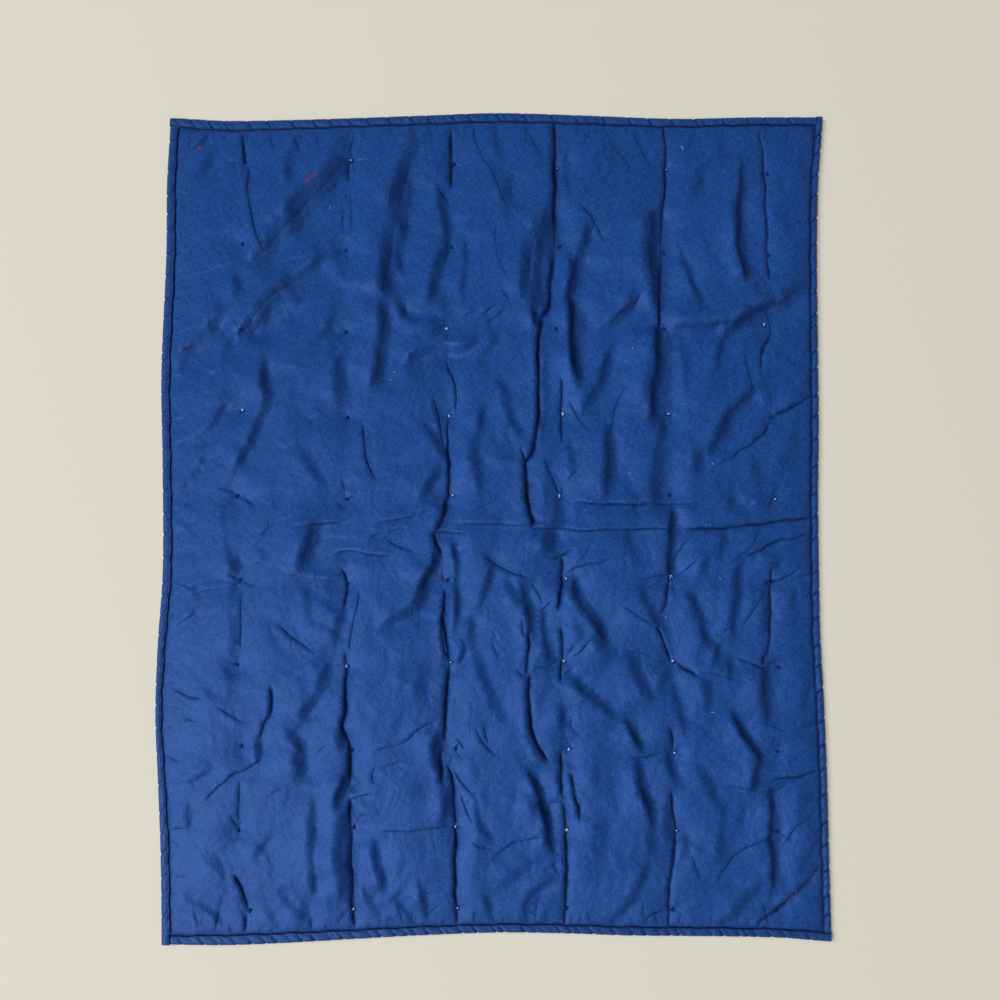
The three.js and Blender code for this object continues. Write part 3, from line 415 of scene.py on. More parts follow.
# Fine crisp creases left from when the quilt was stored: depth, places.
CREASES = [
    # upper left
    (1.6, [(-396, 549), (-409, 531), (-430, 516), (-447, 508)]),
    (1.4, [(-346, 505), (-342, 500), (-340, 470), (-335, 440), (-330, 415), (-317, 379)]),
    (1, [(-329, 373), (-350, 362), (-380, 353), (-411, 344)]),
    (0.8, [(-199, 381), (-250, 370), (-280, 366), (-301, 357)]),
    (1.3, [(-190, 552), (-196, 530), (-201, 514)]),
    (0.8, [(-207, 441), (-207, 399)]),
    (0.8, [(-197, 471), (-195, 399)]),
    (1, [(-283, 558), (-284, 539)]),
    (1, [(-412, 223), (-400, 213), (-390, 208), (-364, 216)]),
    (0.9, [(-385, 51), (-360, 45), (-349, 39)]),
    (0.8, [(-346, 41), (-324, 19)]),
    (0.8, [(-261, 144), (-230, 148), (-204, 153)]),
    (1.6, [(-180, 142), (-176, 115), (-173, 92), (-168, 75), (-159, 60)]),
    (1.3, [(-208, 61), (-202, 44)]),
    (1.2, [(-214, 30), (-205, 19)]),
    (1.2, [(-201, 34), (-184, 38)]),
    (1, [(-446, 140), (-424, 146)]),
    (1.2, [(-436, 461), (-446, 452)]),
    # upper middle
    (1.3, [(-52, 562), (-52, 540)]),
    (1.2, [(-48, 562), (-47, 541)]),
    (1.2, [(-83, 478), (-70, 462), (-57, 441)]),
    (1.2, [(-25, 562), (-25, 545), (-18, 522), (-10, 507), (-3, 498), (5, 480), (15, 455), (21, 439)]),
    (0.8, [(8, 421), (5, 400), (8, 375), (15, 355), (21, 339)]),
    (1.1, [(43, 559), (52, 545), (62, 525), (71, 509)]),
    (1.6, [(120, 449), (135, 430), (145, 415), (153, 402), (158, 389)]),
    (1, [(140, 552), (130, 535), (127, 519)]),
    (1, [(150, 557), (157, 535), (158, 509)]),
    (1.2, [(10, 329), (26, 307)]),
    (1.5, [(12, 306), (-5, 295), (-18, 285)]),
    (1.5, [(21, 299), (5, 285), (-10, 275)]),
    (1.4, [(-19, 293), (-41, 289)]),
    (0.8, [(-118, 301), (-122, 289)]),
    (1.8, [(-64, 230), (-61, 217), (-55, 204), (-51, 192), (-49, 180), (-51, 149)]),
    (1.7, [(-83, 177), (-77, 160), (-72, 140), (-69, 120), (-65, 101)]),
    (1.1, [(106, 173), (115, 155), (125, 140), (138, 126)]),
    (1.7, [(72, 92), (80, 72), (87, 55), (93, 41)]),
    (1, [(121, 76), (101, 56)]),
    (0.9, [(-31, 14), (-5, 27), (16, 38)]),
    # upper right
    (1.3, [(199, 557), (202, 540), (208, 525), (213, 513), (224, 496)]),
    (1, [(166, 541), (175, 520), (185, 510), (193, 489)]),
    (1.2, [(211, 331), (203, 310), (190, 298), (178, 292), (173, 282)]),
    (1.4, [(380, 556), (372, 545)]),
    (1.2, [(366, 336), (370, 319)]),
    (1.6, [(219, 275), (243, 270)]),
    (1, [(387, 253), (395, 240), (400, 224)]),
    (1.2, [(378, 277), (359, 275)]),
    (1.1, [(350, 238), (355, 217), (359, 195), (361, 176)]),
    (0.9, [(361, 179), (381, 195)]),
    (1.5, [(239, 171), (241, 157), (243, 141)]),
    (1, [(187, 193), (172, 162), (166, 137), (162, 119)]),
    (1.3, [(223, 152), (210, 141)]),
    (1.3, [(330, 88), (315, 82), (299, 71)]),
    (0.9, [(362, 161), (355, 150), (339, 145)]),
    (1, [(448, 80), (436, 69)]),
    (1.5, [(387, 36), (384, 21)]),
    (1.4, [(443, 44), (425, 40), (399, 37)]),
    (1.3, [(400, 51), (384, 36)]),
    (1.2, [(446, 7), (380, 2)]),
    (0.9, [(386, 188), (388, 152)]),
    # storage fold along the middle of the right half, and the one below it
    (2, [(298, 28), (265, 28), (237, 26), (220, 27), (205, 25), (165, 26), (135, 27), (112, 30)]),
    (1.8, [(214, 26.5), (185, 25.5), (160, 26), (135, 27), (120, 29)]),
    (1.2, [(300, 22), (265, 21), (237, 20), (205, 19), (175, 19)]),
    (2.8, [(266, -5), (255, -4), (245, -7), (235, -8), (225, -7), (205, -9), (165, -9), (130, -11),
           (105, -9), (75, -7), (52, -6)]),
    (2, [(47, -5), (15, -2), (-10, -2), (-25, -1), (-56, 1)]),
    (2.4, [(-27, -16), (-45, -14), (-65, -13), (-83, -12)]),
    (2.2, [(-201, 0), (-225, 0), (-242, -2), (-272, -2)]),
    (1, [(-268, 11), (-285, 5), (-300, -2), (-321, -18)]),
    (1.1, [(-74, 23), (-90, 17), (-115, 7), (-146, 2)]),
    # middle left
    (1.1, [(-330, -31), (-314, -24)]),
    (1.2, [(-441, -91), (-424, -83)]),
    (1.1, [(-431, -93), (-396, -79)]),
    (1.3, [(-343, -80), (-365, -89), (-387, -92), (-407, -96), (-428, -102)]),
    (1.3, [(-366, -66), (-348, -77)]),
    (1.2, [(-332, -54), (-309, -56)]),
    (0.8, [(-379, -11), (-385, -28)]),
    (2.4, [(-218, -41), (-192, -39), (-175, -42), (-155, -45), (-136, -48)]),
    (1, [(-231, -21), (-205, -22), (-174, -24)]),
    (1.1, [(-139, -11), (-155, -14), (-173, -25)]),
    (1.3, [(-281, -69), (-250, -76), (-225, -79), (-206, -84)]),
    (1.2, [(-182, -91), (-185, -115), (-191, -140), (-195, -165), (-196, -178)]),
    (1.6, [(-202, -175), (-200, -194)]),
    (1.1, [(-216, -195), (-201, -197)]),
    (1.3, [(-296, -136), (-275, -155), (-257, -167), (-241, -181)]),
    (1, [(-344, -96), (-344, -145), (-345, -176)]),
    (1.5, [(-443, -146), (-425, -135), (-401, -119)]),
    (1.4, [(-443, -224), (-425, -232), (-415, -237), (-399, -239)]),
    (1, [(-425, -263), (-401, -273)]),
    (1.1, [(-376, -249), (-357, -262), (-336, -273)]),
    # middle
    (1, [(-152, -18), (-140, -12), (-114, -4)]),
    (1.1, [(-151, -19), (-132, -29), (-115, -35), (-104, -41)]),
    (1.1, [(-163, 0), (-135, 4), (-101, 11)]),
    (1.5, [(-69, -64), (-67, -75), (-61, -81)]),
    (1.9, [(-9, -46), (15, -61), (35, -70), (51, -75)]),
    (1.1, [(50, -74), (60, -90), (67, -102), (69, -116)]),
    (1.7, [(99, -71), (115, -62), (135, -56), (145, -54), (166, -49)]),
    (1.1, [(111, -53), (125, -47), (136, -34)]),
    (1.4, [(86, -104), (68, -121)]),
    (1.3, [(31, -199), (48, -211)]),
    (1.5, [(54, -204), (65, -197), (77, -196), (93, -188)]),
    (1.6, [(89, -207), (105, -204), (116, -196)]),
    (1.2, [(100, -186), (116, -164)]),
    (1.3, [(105, -188), (122, -175), (138, -156)]),
    (1.1, [(110, -259), (110, -280), (123, -293)]),
    (0.8, [(0, -159), (11, -193)]),
    (1.2, [(-12, -269), (-5, -302)]),
    (1.3, [(-71, -268), (-90, -275), (-100, -282), (-120, -300), (-140, -305), (-161, -311)]),
    # middle right
    (1.3, [(276, -19), (265, -30), (257, -42), (251, -60), (246, -73)]),
    (1.8, [(242, -76), (227, -72), (212, -77), (204, -76)]),
    (1.8, [(249, -74), (265, -66), (275, -57), (281, -51)]),
    (1.3, [(179, -111), (195, -122), (210, -132), (223, -141)]),
    (1.6, [(247, -190), (227, -189), (212, -181), (195, -177), (181, -171)]),
    (1.3, [(280, -204), (295, -204), (310, -207), (325, -212), (340, -214), (356, -218)]),
    (1.2, [(369, -6), (362, -22), (355, -35), (340, -45), (329, -53)]),
    (1.9, [(426, -60), (410, -72), (395, -79), (385, -80), (369, -87)]),
    (1.2, [(446, -67), (417, -77)]),
    (1.2, [(376, -91), (362, -115), (352, -130), (339, -146)]),
    (1.2, [(386, -202), (406, -202)]),
    (1.1, [(331, -140), (314, -153)]),
    (1.2, [(438, -161), (419, -176)]),
    (1.6, [(448, -275), (435, -277), (414, -282)]),
    (1.5, [(406, -288), (392, -280), (374, -276)]),
    # lower left
    (1.9, [(-311, -321), (-325, -330), (-340, -339), (-350, -341), (-362, -351), (-375, -362),
           (-385, -371), (-393, -378)]),
    (1.1, [(-284, -361), (-306, -372)]),
    (1, [(-224, -301), (-243, -318)]),
    (1.6, [(-159, -370), (-175, -372), (-187, -376), (-201, -380)]),
    (1.2, [(-158, -329), (-163, -345), (-160, -358)]),
    (1.1, [(-344, -349), (-346, -411)]),
    (1.7, [(-414, -416), (-425, -417), (-443, -417)]),
    (1.3, [(-424, -392), (-441, -388)]),
    (1, [(-447, -426), (-424, -443)]),
    (0.9, [(-444, -472), (-415, -485)]),
    (1.2, [(-358, -396), (-346, -418)]),
    (1.1, [(-197, -529), (-213, -546)]),
    (1.1, [(-114, -324), (-140, -330), (-158, -333)]),
    # lower middle
    (1.6, [(-50, -294), (-40, -305), (-37, -313)]),
    (1.3, [(-57, -331), (-40, -355), (-21, -376)]),
    (1.3, [(-45, -366), (-35, -390), (-24, -411)]),
    (1.8, [(-58, -416), (-82, -417), (-110, -420), (-132, -421), (-153, -420)]),
    (1.4, [(-22, -279), (-15, -295), (-5, -307), (6, -318)]),
    (1.1, [(-30, -431), (-15, -439), (1, -442)]),
    (1.4, [(71, -426), (47, -431), (27, -437), (15, -445), (1, -454)]),
    (1.4, [(99, -309), (84, -317)]),
    (1.2, [(97, -382), (76, -385)]),
    (1.2, [(-89, -536), (-71, -519)]),
    (1.1, [(-136, -534), (-146, -551)]),
    (1.1, [(80, -456), (91, -478)]),
    # lower right
    (1.7, [(243, -316), (225, -316), (212, -320), (197, -320), (185, -316)]),
    (1.2, [(218, -388), (204, -398)]),
    (1, [(272, -451), (280, -472), (288, -493)]),
    (1.6, [(406, -354), (395, -363), (380, -366), (362, -365), (340, -362), (319, -360)]),
    (1.1, [(397, -294), (392, -313)]),
    (1.6, [(393, -422), (380, -427), (362, -435), (345, -444), (330, -455), (317, -470), (306, -488)]),
    (1.5, [(448, -389), (430, -405), (417, -415), (407, -430), (399, -441)]),
]

# Ridges that stand beside the folds: height, half width, places.
RIDGES = [
    (3, 9, [(-213, 522), (-240, 493), (-262, 473), (-280, 452), (-300, 436), (-322, 419)]),
    (1.4, 5, [(101, 386), (102, 350), (99, 317)]),
    (1.6, 2.6, [(-57, -20), (-54, -52), (-55, -90), (-54, -127), (-56, -152), (-53, -180)]),
    (1.4, 4, [(-184, -440), (-179, -492), (-173, -521)]),
    (1.4, 5, [(-232, -440), (-228, -500), (-224, -540)]),
    (2.2, 5, [(434, 184), (415, 175), (396, 163)]),
    (1.6, 2.6, [(283, 23), (237, 22), (205, 21), (165, 22), (116, 25)]),
    (1.4, 4, [(228, 330), (212, 320), (196, 306)]),
    (1.4, 3, [(-65, -337), (-73, -367), (-82, -383)]),
    (1.2, 3, [(166, -53), (145, -58), (115, -67)]),
    (1.2, 3, [(356, -220), (325, -215), (295, -207)]),
    (1.4, 4, [(440, -19), (400, -30), (365, -49)]),
    (1.4, 8, [(-150, 470), (-165, 420), (-180, 370)]),
    (1.2, 3, [(-446, -375), (-440, -390), (-432, -398)]),
    (1.2, 3, [(-384, -424), (-430, -424)]),
    (1.2, 3, [(-20, 292), (4, 300), (24, 312)]),
    (1.4, 6, [(372, -440), (345, -455), (325, -478)]),
    (1.6, 9, [(118, 10), (200, 10), (300, 13), (445, 19)]),
]

# How deep the valley is that the ties pull down each column.
COLUMN_VALLEYS = [0.8, 1.5, 2.2, 1.8, 1.9, 1.4]


def fold_line(places, wander, draw):
    """Close points along a smooth, slightly wandering line through the places."""
    places = np.array(places, float)
    reach = np.concatenate([[0], np.cumsum(np.hypot(*np.diff(places, axis=0).T))])
    s = np.linspace(0, reach[-1], max(int(reach[-1] / 2.5), 2) + 1)
    heading = np.gradient(places, reach, axis=0)
    k = np.clip(np.searchsorted(reach, s, side="right") - 1, 0, len(reach) - 2)
    gap = (reach[k + 1] - reach[k])[:, None]
    t = (s - reach[k])[:, None] / gap
    line = (places[k] * (1 + 2 * t) * (1 - t) ** 2 + heading[k] * gap * t * (1 - t) ** 2
            + places[k + 1] * t * t * (3 - 2 * t) - heading[k + 1] * gap * t * t * (1 - t))
    turn = draw.uniform(0, 2 * np.pi, 2)
    sway = wander * (np.sin(s / 8.5 + turn[0]) + 0.6 * np.sin(s / 3.9 + turn[1]))
    normal = np.gradient(line, s, axis=0)[:, ::-1] * (1, -1)
    return line + sway[:, None] * normal


def press(x, y, line, groove, left, right, drop, band, fade, painted_shade):
    """How far one fold sinks the cloth at each point near it, and how much painted shade darkens its colour
    there.

    The groove is a cut with a wall on each side. The drop is a slope as wide as the band, which falls
    away from the window, stands a little proud above and lies a little low below."""
    # Past the band the slope dies away over the spread.
    spread = 2.0 * band + 5 if drop else 0.0
    reach = max(3.0 * max(left, right), band + 2.2 * spread)
    low = line.min(0) - reach
    high = line.max(0) + reach
    near = np.flatnonzero((x > low[0]) & (x < high[0]) & (y > low[1]) & (y < high[1]))
    step = np.diff(line, axis=0)
    length = np.hypot(*step.T)
    point = np.stack([x[near], y[near]], 1)[:, None] - line[None, :-1]
    t = np.clip((point * step).sum(-1) / (length ** 2), 0, 1)
    off = point - t[..., None] * step
    distance = np.hypot(off[..., 0], off[..., 1])
    k = distance.argmin(1)
    pick = np.arange(len(near))
    off = off[pick, k]
    distance = distance[pick, k]
    on_right = np.where(step[k, 0] * off[:, 1] - step[k, 1] * off[:, 0] < 0, 1.0, -1.0)
    run = np.concatenate([[0], np.cumsum(length)])
    s = run[k] + t[pick, k] * length[k]
    # Both ends run out over the fade, and the depth wavers along the line.
    taper = smooth(np.minimum(s, run[-1] - s) / min(fade, run[-1] / 2) * 0.85 + 0.15)
    taper *= 1 + 0.18 * np.sin(s / 11 + line[0, 0])
    width = np.where(on_right > 0, right, left)
    sunk = groove * np.exp(-(distance / width) ** (1.3 if min(left, right) < 3 else 1.9)) * taper
    # Painted shade: the colour is darkened along the middle of the fold.
    dark = painted_shade * np.exp(-(distance / (0.85 * width)) ** 2) * taper
    if drop:
        chord = line[-1] - line[0]
        turned_away = chord[1] * AWAY_FROM_WINDOW[0] - chord[0] * AWAY_FROM_WINDOW[1]
        downhill = on_right * math.copysign(1, turned_away)
        here = band * (0.5 + 0.5 * np.abs(np.sin(np.pi * s / run[-1])) ** 0.7)
        beyond = np.exp(-(np.maximum(distance - here, 0) / spread) ** 1.4)
        sunk += drop * downhill * np.clip(distance / here, 0, 1) * beyond * taper
    return near, sunk, dark


def uneven(x, y, across, down, seed):
    """Gentle random humps, about -1 to 1: each roughly `across` wide and `down` long."""
    draw = np.random.default_rng(seed)
    total = np.zeros_like(x)
    for _ in range(16):
        angle, turn = draw.uniform(0, 2 * np.pi, 2)
        wave = draw.uniform(0.6, 1.5)
        total += np.cos(np.pi * wave * (np.cos(angle) * x / across + np.sin(angle) * y / down) + turn)
    return total / 4


def longer(places, by):
    """The same places with both ends carried on a little further."""
    places = [np.array(place, float) for place in places]
    for end, following in ((0, 1), (-1, -2)):
        way = places[end] - places[following]
        places[end] = places[end] + way / np.hypot(*way) * by
    return [tuple(place) for place in places]


# Every fold in the form that press takes. Thin pleats are cuts, deep pleats are wider cuts with a slope
# beside them, and the rest are slopes with hardly a cut.
THIN = 3                 # a pleat whose narrower wall is under this is thin
DEEP = 6
draw = np.random.default_rng(11)
# The last value of every fold is painted shade: how much it darkens the cloth's colour along the fold.
folds = []
for depth, left, right, places in PLEATS:
    if min(left, right) > THIN and depth <= DEEP:
        places = longer(places, 12)
    line = fold_line(places, 0.5, draw)
    if min(left, right) < THIN:
        folds.append(dict(line=line, groove=0.9 * depth, left=0.62 * left, right=0.62 * right,
                          drop=0.25 * depth, band=2.2, fade=12, painted_shade=min(1, depth / 6)))
    elif depth > DEEP:
        folds.append(dict(line=line, groove=0.75 * depth, left=0.6 * left, right=0.7 * right,
                          drop=0.4 * depth, band=1.3 * left, fade=14, painted_shade=min(1, depth / 9)))
    else:
        folds.append(dict(line=line, groove=0.12 * depth, left=2.2, right=2.6,
                          drop=1.1 * depth, band=1.6 * left, fade=26, painted_shade=0.06 * depth))
for depth, places in CREASES:
    folds.append(dict(line=fold_line(places, 0.35, draw), groove=0.9 * depth, left=1.0, right=1.3,
                      drop=0.75 * depth, band=2.4, fade=16, painted_shade=0.3 * depth))
# Short creases run out from each tie and in from each gather of the binding.
for x, y in TIES:
    first = draw.uniform(0, 2 * np.pi)
    pulled = draw.uniform(0.3, 1)
    for ray in range(4):
        turn = first + ray * 1.57 + draw.uniform(-0.6, 0.6)
        reach = draw.uniform(9, 30)
        places = [(x + r * math.cos(turn), y + r * math.sin(turn)) for r in (1.5, reach / 2, reach)]
        folds.append(dict(line=fold_line(places, 0.4, draw), groove=pulled * draw.uniform(0.4, 1.1),
                          left=1.1, right=1.3, drop=0.6 * pulled, band=2.4, fade=20, painted_shade=0.1))
for side, stations in PUCKERS.items():
    for where in stations:
        outward = 1 if side in ("top", "right") else -1
        half = HALF_WIDTH if side in ("left", "right") else HALF_LENGTH
        lean = draw.uniform(-0.5, 0.5)
        places = []
        for r in (0.5, 6, draw.choice([12, 16, 24, 40]) + draw.uniform(-3, 3)):
            across = outward * (half - float(seam(side, where)) - r)
            moved = where + lean * r
            u, v = (across, moved) if side in ("left", "right") else (moved, across)
            places.append([float(part) for part in laid(np.float64(u), np.float64(v))])
        folds.append(dict(line=fold_line(places, 0.3, draw), groove=draw.uniform(0.8, 1.7),
                          left=1.1, right=1.3, drop=draw.uniform(0.5, 1.1), band=2.4, fade=40, painted_shade=0.3))
for depth, width, places in TROUGHS:
    folds.append(dict(line=fold_line(longer(places, 10), 0.8, draw), groove=0.12 * depth, left=2.4,
                      right=2.6, drop=1.3 * depth, band=1.45 * width, fade=26, painted_shade=0.05 * depth))
for height, width, places in RIDGES:
    folds.append(dict(line=fold_line(places, 0.6, draw), groove=-height, left=width, right=width,
                      drop=0, band=0, fade=18, painted_shade=0))
# Slight crumples, all over and mostly down or across the cloth at a slant.
CRUMPLES = 420
for _ in range(CRUMPLES):
    x = draw.uniform(-435, 435)
    y = draw.uniform(-545, 545)
    turn = math.radians(draw.choice([90, 62, 118, 20, 160]) + draw.uniform(-22, 22))
    reach = draw.uniform(12, 42)
    bend = draw.uniform(-0.3, 0.3)
    places = [(x + r * math.cos(turn + bend * r / reach), y + r * math.sin(turn + bend * r / reach))
              for r in (-reach, 0, reach)]
    folds.append(dict(line=fold_line(places, 0.8, draw), groove=0.0, left=1.0, right=1.0,
                      drop=draw.uniform(0.2, 0.8), band=draw.uniform(1.8, 6), fade=22, painted_shade=0))


def beside(line, offset):
    """Points at an offset to the right of a line, for an offset that may change along it."""
    heading = np.gradient(line, axis=0)
    heading /= np.hypot(*heading.T)[:, None]
    return line + np.stack([heading[:, 1], -heading[:, 0]], 1) * np.reshape(offset, (-1, 1))


RIM_CLEAR = 1.4          # no point comes nearer to the rim than this


def keep_clear(kept, points, gap):
    """Adds those of the points that lie further than the gap from the points kept so far."""
    points = points[(np.abs(points[:, 0]) < HALF_WIDTH - BODY_SETBACK - RIM_CLEAR)
                    & (np.abs(points[:, 1]) < HALF_LENGTH - BODY_SETBACK - RIM_CLEAR)]
    cell = np.round(points / (0.8 * gap)).astype(int)
    first = np.sort(np.unique(cell, axis=0, return_index=True)[1])
    points = points[first]
    tree = KDTree(len(kept))
    for k, (u, v) in enumerate(kept.tolist()):
        tree.insert((u, v, 0), k)
    tree.balance()
    clear = [tree.find((u, v, 0))[2] > gap for u, v in points.tolist()]
    return np.concatenate([kept, points[clear]])


def in_cut(lines):
    """Many laid lines as one list of places on the cut cloth."""
    return np.stack(before_laying(*np.concatenate(lines).T), 1)


# The mesh of the top cloth: points along the rim, beside the seams, down the middle and both walls of
# every crease, along both edges of every slope, round each tie, and an even spread between. The last
# number of each keep_clear is how close two of its points may lie.
RIM_STEP = 3.6
SPREAD = 4.95            # between points where the cloth is smooth
rim_u = HALF_WIDTH - BODY_SETBACK
rim_v = HALF_LENGTH - BODY_SETBACK
across = np.linspace(-rim_u, rim_u, int(2 * rim_u / RIM_STEP) + 1)[:-1]
down = np.linspace(-rim_v, rim_v, int(2 * rim_v / RIM_STEP) + 1)[:-1]
cut = np.concatenate([np.stack([across, across * 0 - rim_v], 1), np.stack([down * 0 + rim_u, down], 1),
                      np.stack([-across, across * 0 + rim_v], 1), np.stack([down * 0 - rim_u, -down], 1)])
edge = list(range(len(cut)))

beside_seams = []
for inset in (0.4, 2.2, 4.6, 8.0):
    u = np.arange(-rim_u + 12, rim_u - 12, 3.2)
    v = np.arange(-rim_v + 12, rim_v - 12, 3.2)
    beside_seams += [np.stack([u, HALF_LENGTH - seam("top", u) - inset], 1),
                     np.stack([u, seam("bottom", u) + inset - HALF_LENGTH], 1),
                     np.stack([seam("left", v) + inset - HALF_WIDTH, v], 1),
                     np.stack([HALF_WIDTH - seam("right", v) - inset, v], 1)]
cut = keep_clear(cut, np.concatenate(beside_seams), 1.3)

sharp = [fold["line"] for fold in folds if fold["groove"] > 0.5 and min(fold["left"], fold["right"]) < 3]
cut = keep_clear(cut, in_cut(sharp), 0.9)
cut = keep_clear(cut, in_cut([beside(line, side) for line in sharp for side in (-1, 1)]), 0.8)
cut = keep_clear(cut, in_cut([beside(line, side) for line in sharp for side in (-2.6, 2.6)]), 1.4)
slopes = []
for fold in folds:
    if fold["drop"] > 0.9 and fold["band"] > 2:
        s = np.linspace(0, np.pi, len(fold["line"]))
        here = fold["band"] * (0.4 + 0.6 * np.sin(s) ** 0.7)
        middles = (-0.4, 0.4) if fold["band"] > 6 else (0,)
        slopes += [beside(fold["line"], here * share) for share in (-1, *middles, 1)]
cut = keep_clear(cut, in_cut(slopes), 1.7)
round_ties = []
for x, y in TIES:
    for radius, count in ((0.1, 1), (1.7, 6), (3.8, 9), (6.4, 12)):
        turn = np.linspace(0, 2 * np.pi, count, endpoint=False)
        round_ties.append(np.stack([x + radius * np.cos(turn), y + radius * np.sin(turn)], 1))
cut = keep_clear(cut, in_cut(round_ties), 1.1)
even_u, even_v = np.meshgrid(np.arange(-rim_u, rim_u, SPREAD), np.arange(-rim_v, rim_v, SPREAD * 0.866))
even_u[1::2] += SPREAD / 2
cut = keep_clear(cut, np.stack([even_u.ravel(), even_v.ravel()], 1), 2.6)

triangles = delaunay_2d_cdt([Vector(place) for place in cut.tolist()], [], [], 0, 1e-6)
origin = np.array([origin[0] for origin in triangles[3]])
top_faces = origin[np.array(triangles[2])]
cut_u, cut_v = cut.T
body_x, body_y = laid(cut_u, cut_v)


def rise_from_seam(inside):
    """The share of its full height that the padding has at each distance inside a seam."""
    inside = np.maximum(inside - SEAM_CLEARANCE, 0)
    return 0.4 * (1 - np.exp(-inside / 2.2)) + 0.6 * (1 - (1 - np.minimum(inside / SEAM_RISE, 1)) ** 2)


def padding_height(x, y):
    """Top of the padding between the seams, before any fold is pressed into it."""
    height = np.full(x.shape, CROWN)
    height += 0.8 * uneven(x, y, 120, 150, 3) + 0.55 * uneven(x, y, 42, 70, 4)
    height += 0.15 * uneven(x, y, 17, 34, 5)
    for k, depth in enumerate(COLUMN_VALLEYS):
        tie_x, tie_y = np.array(TIES[k::TIE_COLUMNS])[::-1].T
        height -= depth * np.exp(-((x - np.interp(y, tie_y, tie_x)) / 15) ** 2)
    for first in range(0, len(TIES), TIE_COLUMNS):
        tie_x, tie_y = np.array(TIES[first:first + TIE_COLUMNS]).T
        height -= ROW_DIP * np.exp(-((y - np.interp(x, tie_x, tie_y)) / 17) ** 2)
    for tie_x, tie_y in TIES:
        away = np.hypot(x - tie_x, (y - tie_y) * 1.1)
        height -= TIE_PULL * np.exp(-(away / 24) ** 2) + TIE_DIMPLE * np.exp(-away / 5.5)
    return height


height = padding_height(body_x, body_y)
# Painted shade: how much each point's colour is darkened down in the folds.
painted_fold_shade = np.zeros_like(height)
for fold in folds:
    near, deep, shaded = press(body_x, body_y, **fold)
    height[near] -= deep
    painted_fold_shade[near] = 1 - (1 - painted_fold_shade[near]) * (1 - np.clip(shaded, 0, 1))
height = THINNEST + np.logaddexp(0, (height - THINNEST) / 0.9) * 0.9
rise = (rise_from_seam(cut_u + HALF_WIDTH - seam("left", cut_v))
        * rise_from_seam(HALF_WIDTH - cut_u - seam("right", cut_v))
        * rise_from_seam(cut_v + HALF_LENGTH - seam("bottom", cut_u))
        * rise_from_seam(HALF_LENGTH - cut_v - seam("top", cut_u)))
body_z = EDGE_TOP + (height - EDGE_TOP) * rise
# Painted shade also darkens the colour where the padding sinks down to the seams.
painted_fold_shade = np.maximum(painted_fold_shade, 0.6 * (1 - smooth(rise / 0.4)))


def grid_faces(count_i, count_j, first):
    """Two triangles for each cell of a grid of points, facing down."""
    i, j = np.meshgrid(np.arange(count_i - 1), np.arange(count_j - 1))
    a = (first + j * count_i + i).ravel()
    b, c, d = a + 1, a + 1 + count_i, a + count_i
    return np.concatenate([np.stack([c, b, a], 1), np.stack([d, c, a], 1)])


def rim(count_i, count_j, first):
    """Points round the edge of a grid, counter-clockwise from its lower left corner."""
    bottom = [first + i for i in range(count_i - 1)]
    right = [first + j * count_i + count_i - 1 for j in range(count_j - 1)]
    top = [first + (count_j - 1) * count_i + i for i in range(count_i - 1, 0, -1)]
    left = [first + j * count_i for j in range(count_j - 1, 0, -1)]
    return bottom + right + top + left


def join_rims(outer, inner, points):
    """Triangles between two closed rims of different counts, by how far round each point is."""
    def share(loop):
        place = points[loop]
        gaps = np.hypot(*(np.roll(place, -1, axis=0) - place)[:, :2].T)
        return np.concatenate([[0], np.cumsum(gaps)]) / gaps.sum()

    far_outer = share(outer)
    far_inner = share(inner)
    faces = []
    a = 0
    b = 0
    while a < len(outer) or b < len(inner):
        if b == len(inner) or (a < len(outer) and far_outer[a + 1] <= far_inner[b + 1]):
            faces.append((outer[a], outer[(a + 1) % len(outer)], inner[b % len(inner)]))
            a += 1
        else:
            faces.append((inner[b], outer[a % len(outer)], inner[(b + 1) % len(inner)]))
            b += 1
    return faces


top_points = np.stack([body_x, body_y, body_z], 1)
low_edge = top_points[edge] * (1, 1, 0) + (0, 0, EDGE_BOTTOM)

# The underside lies flat on the floor, and the ties lift it a little.
UNDER_INSET = 24         # where it comes down to the floor, inside the edge
UNDER_ACROSS = 62        # points across it and down it
UNDER_DOWN = 78
under_u = np.linspace(-HALF_WIDTH + UNDER_INSET, HALF_WIDTH - UNDER_INSET, UNDER_ACROSS)
under_v = np.linspace(-HALF_LENGTH + UNDER_INSET, HALF_LENGTH - UNDER_INSET, UNDER_DOWN)
under_cut = np.stack(np.meshgrid(under_u, under_v), -1).reshape(-1, 2)
under_x, under_y = laid(under_cut[:, 0], under_cut[:, 1])
under_z = np.zeros(len(under_x))
for tie_x, tie_y in TIES:
    under_z += 0.9 * np.exp(-((under_x - tie_x) ** 2 + (under_y - tie_y) ** 2) / 14 ** 2)
inner = np.array([0 < i < UNDER_ACROSS - 1 and 0 < j < UNDER_DOWN - 1
                  for j in range(UNDER_DOWN) for i in range(UNDER_ACROSS)])
under_points = np.stack([under_x, under_y, np.where(inner, under_z, 0)], 1)

body_points = np.concatenate([top_points, low_edge, under_points])
body_cut = np.concatenate([cut, cut[edge], under_cut])
low_rim = list(range(len(top_points), len(top_points) + len(edge)))
under_first = len(top_points) + len(edge)
under_rim = rim(UNDER_ACROSS, UNDER_DOWN, under_first)
body_faces = [top_faces]
wall = []
for k in range(len(edge)):
    after = (k + 1) % len(edge)
    wall.append((low_rim[k], low_rim[after], edge[after]))
    wall.append((low_rim[k], edge[after], edge[k]))
body_faces.append(np.array(wall))
body_faces.append(np.array(join_rims(low_rim, under_rim, body_points))[:, ::-1])
body_faces.append(grid_faces(UNDER_ACROSS, UNDER_DOWN, under_first))
body_faces = np.concatenate(body_faces)


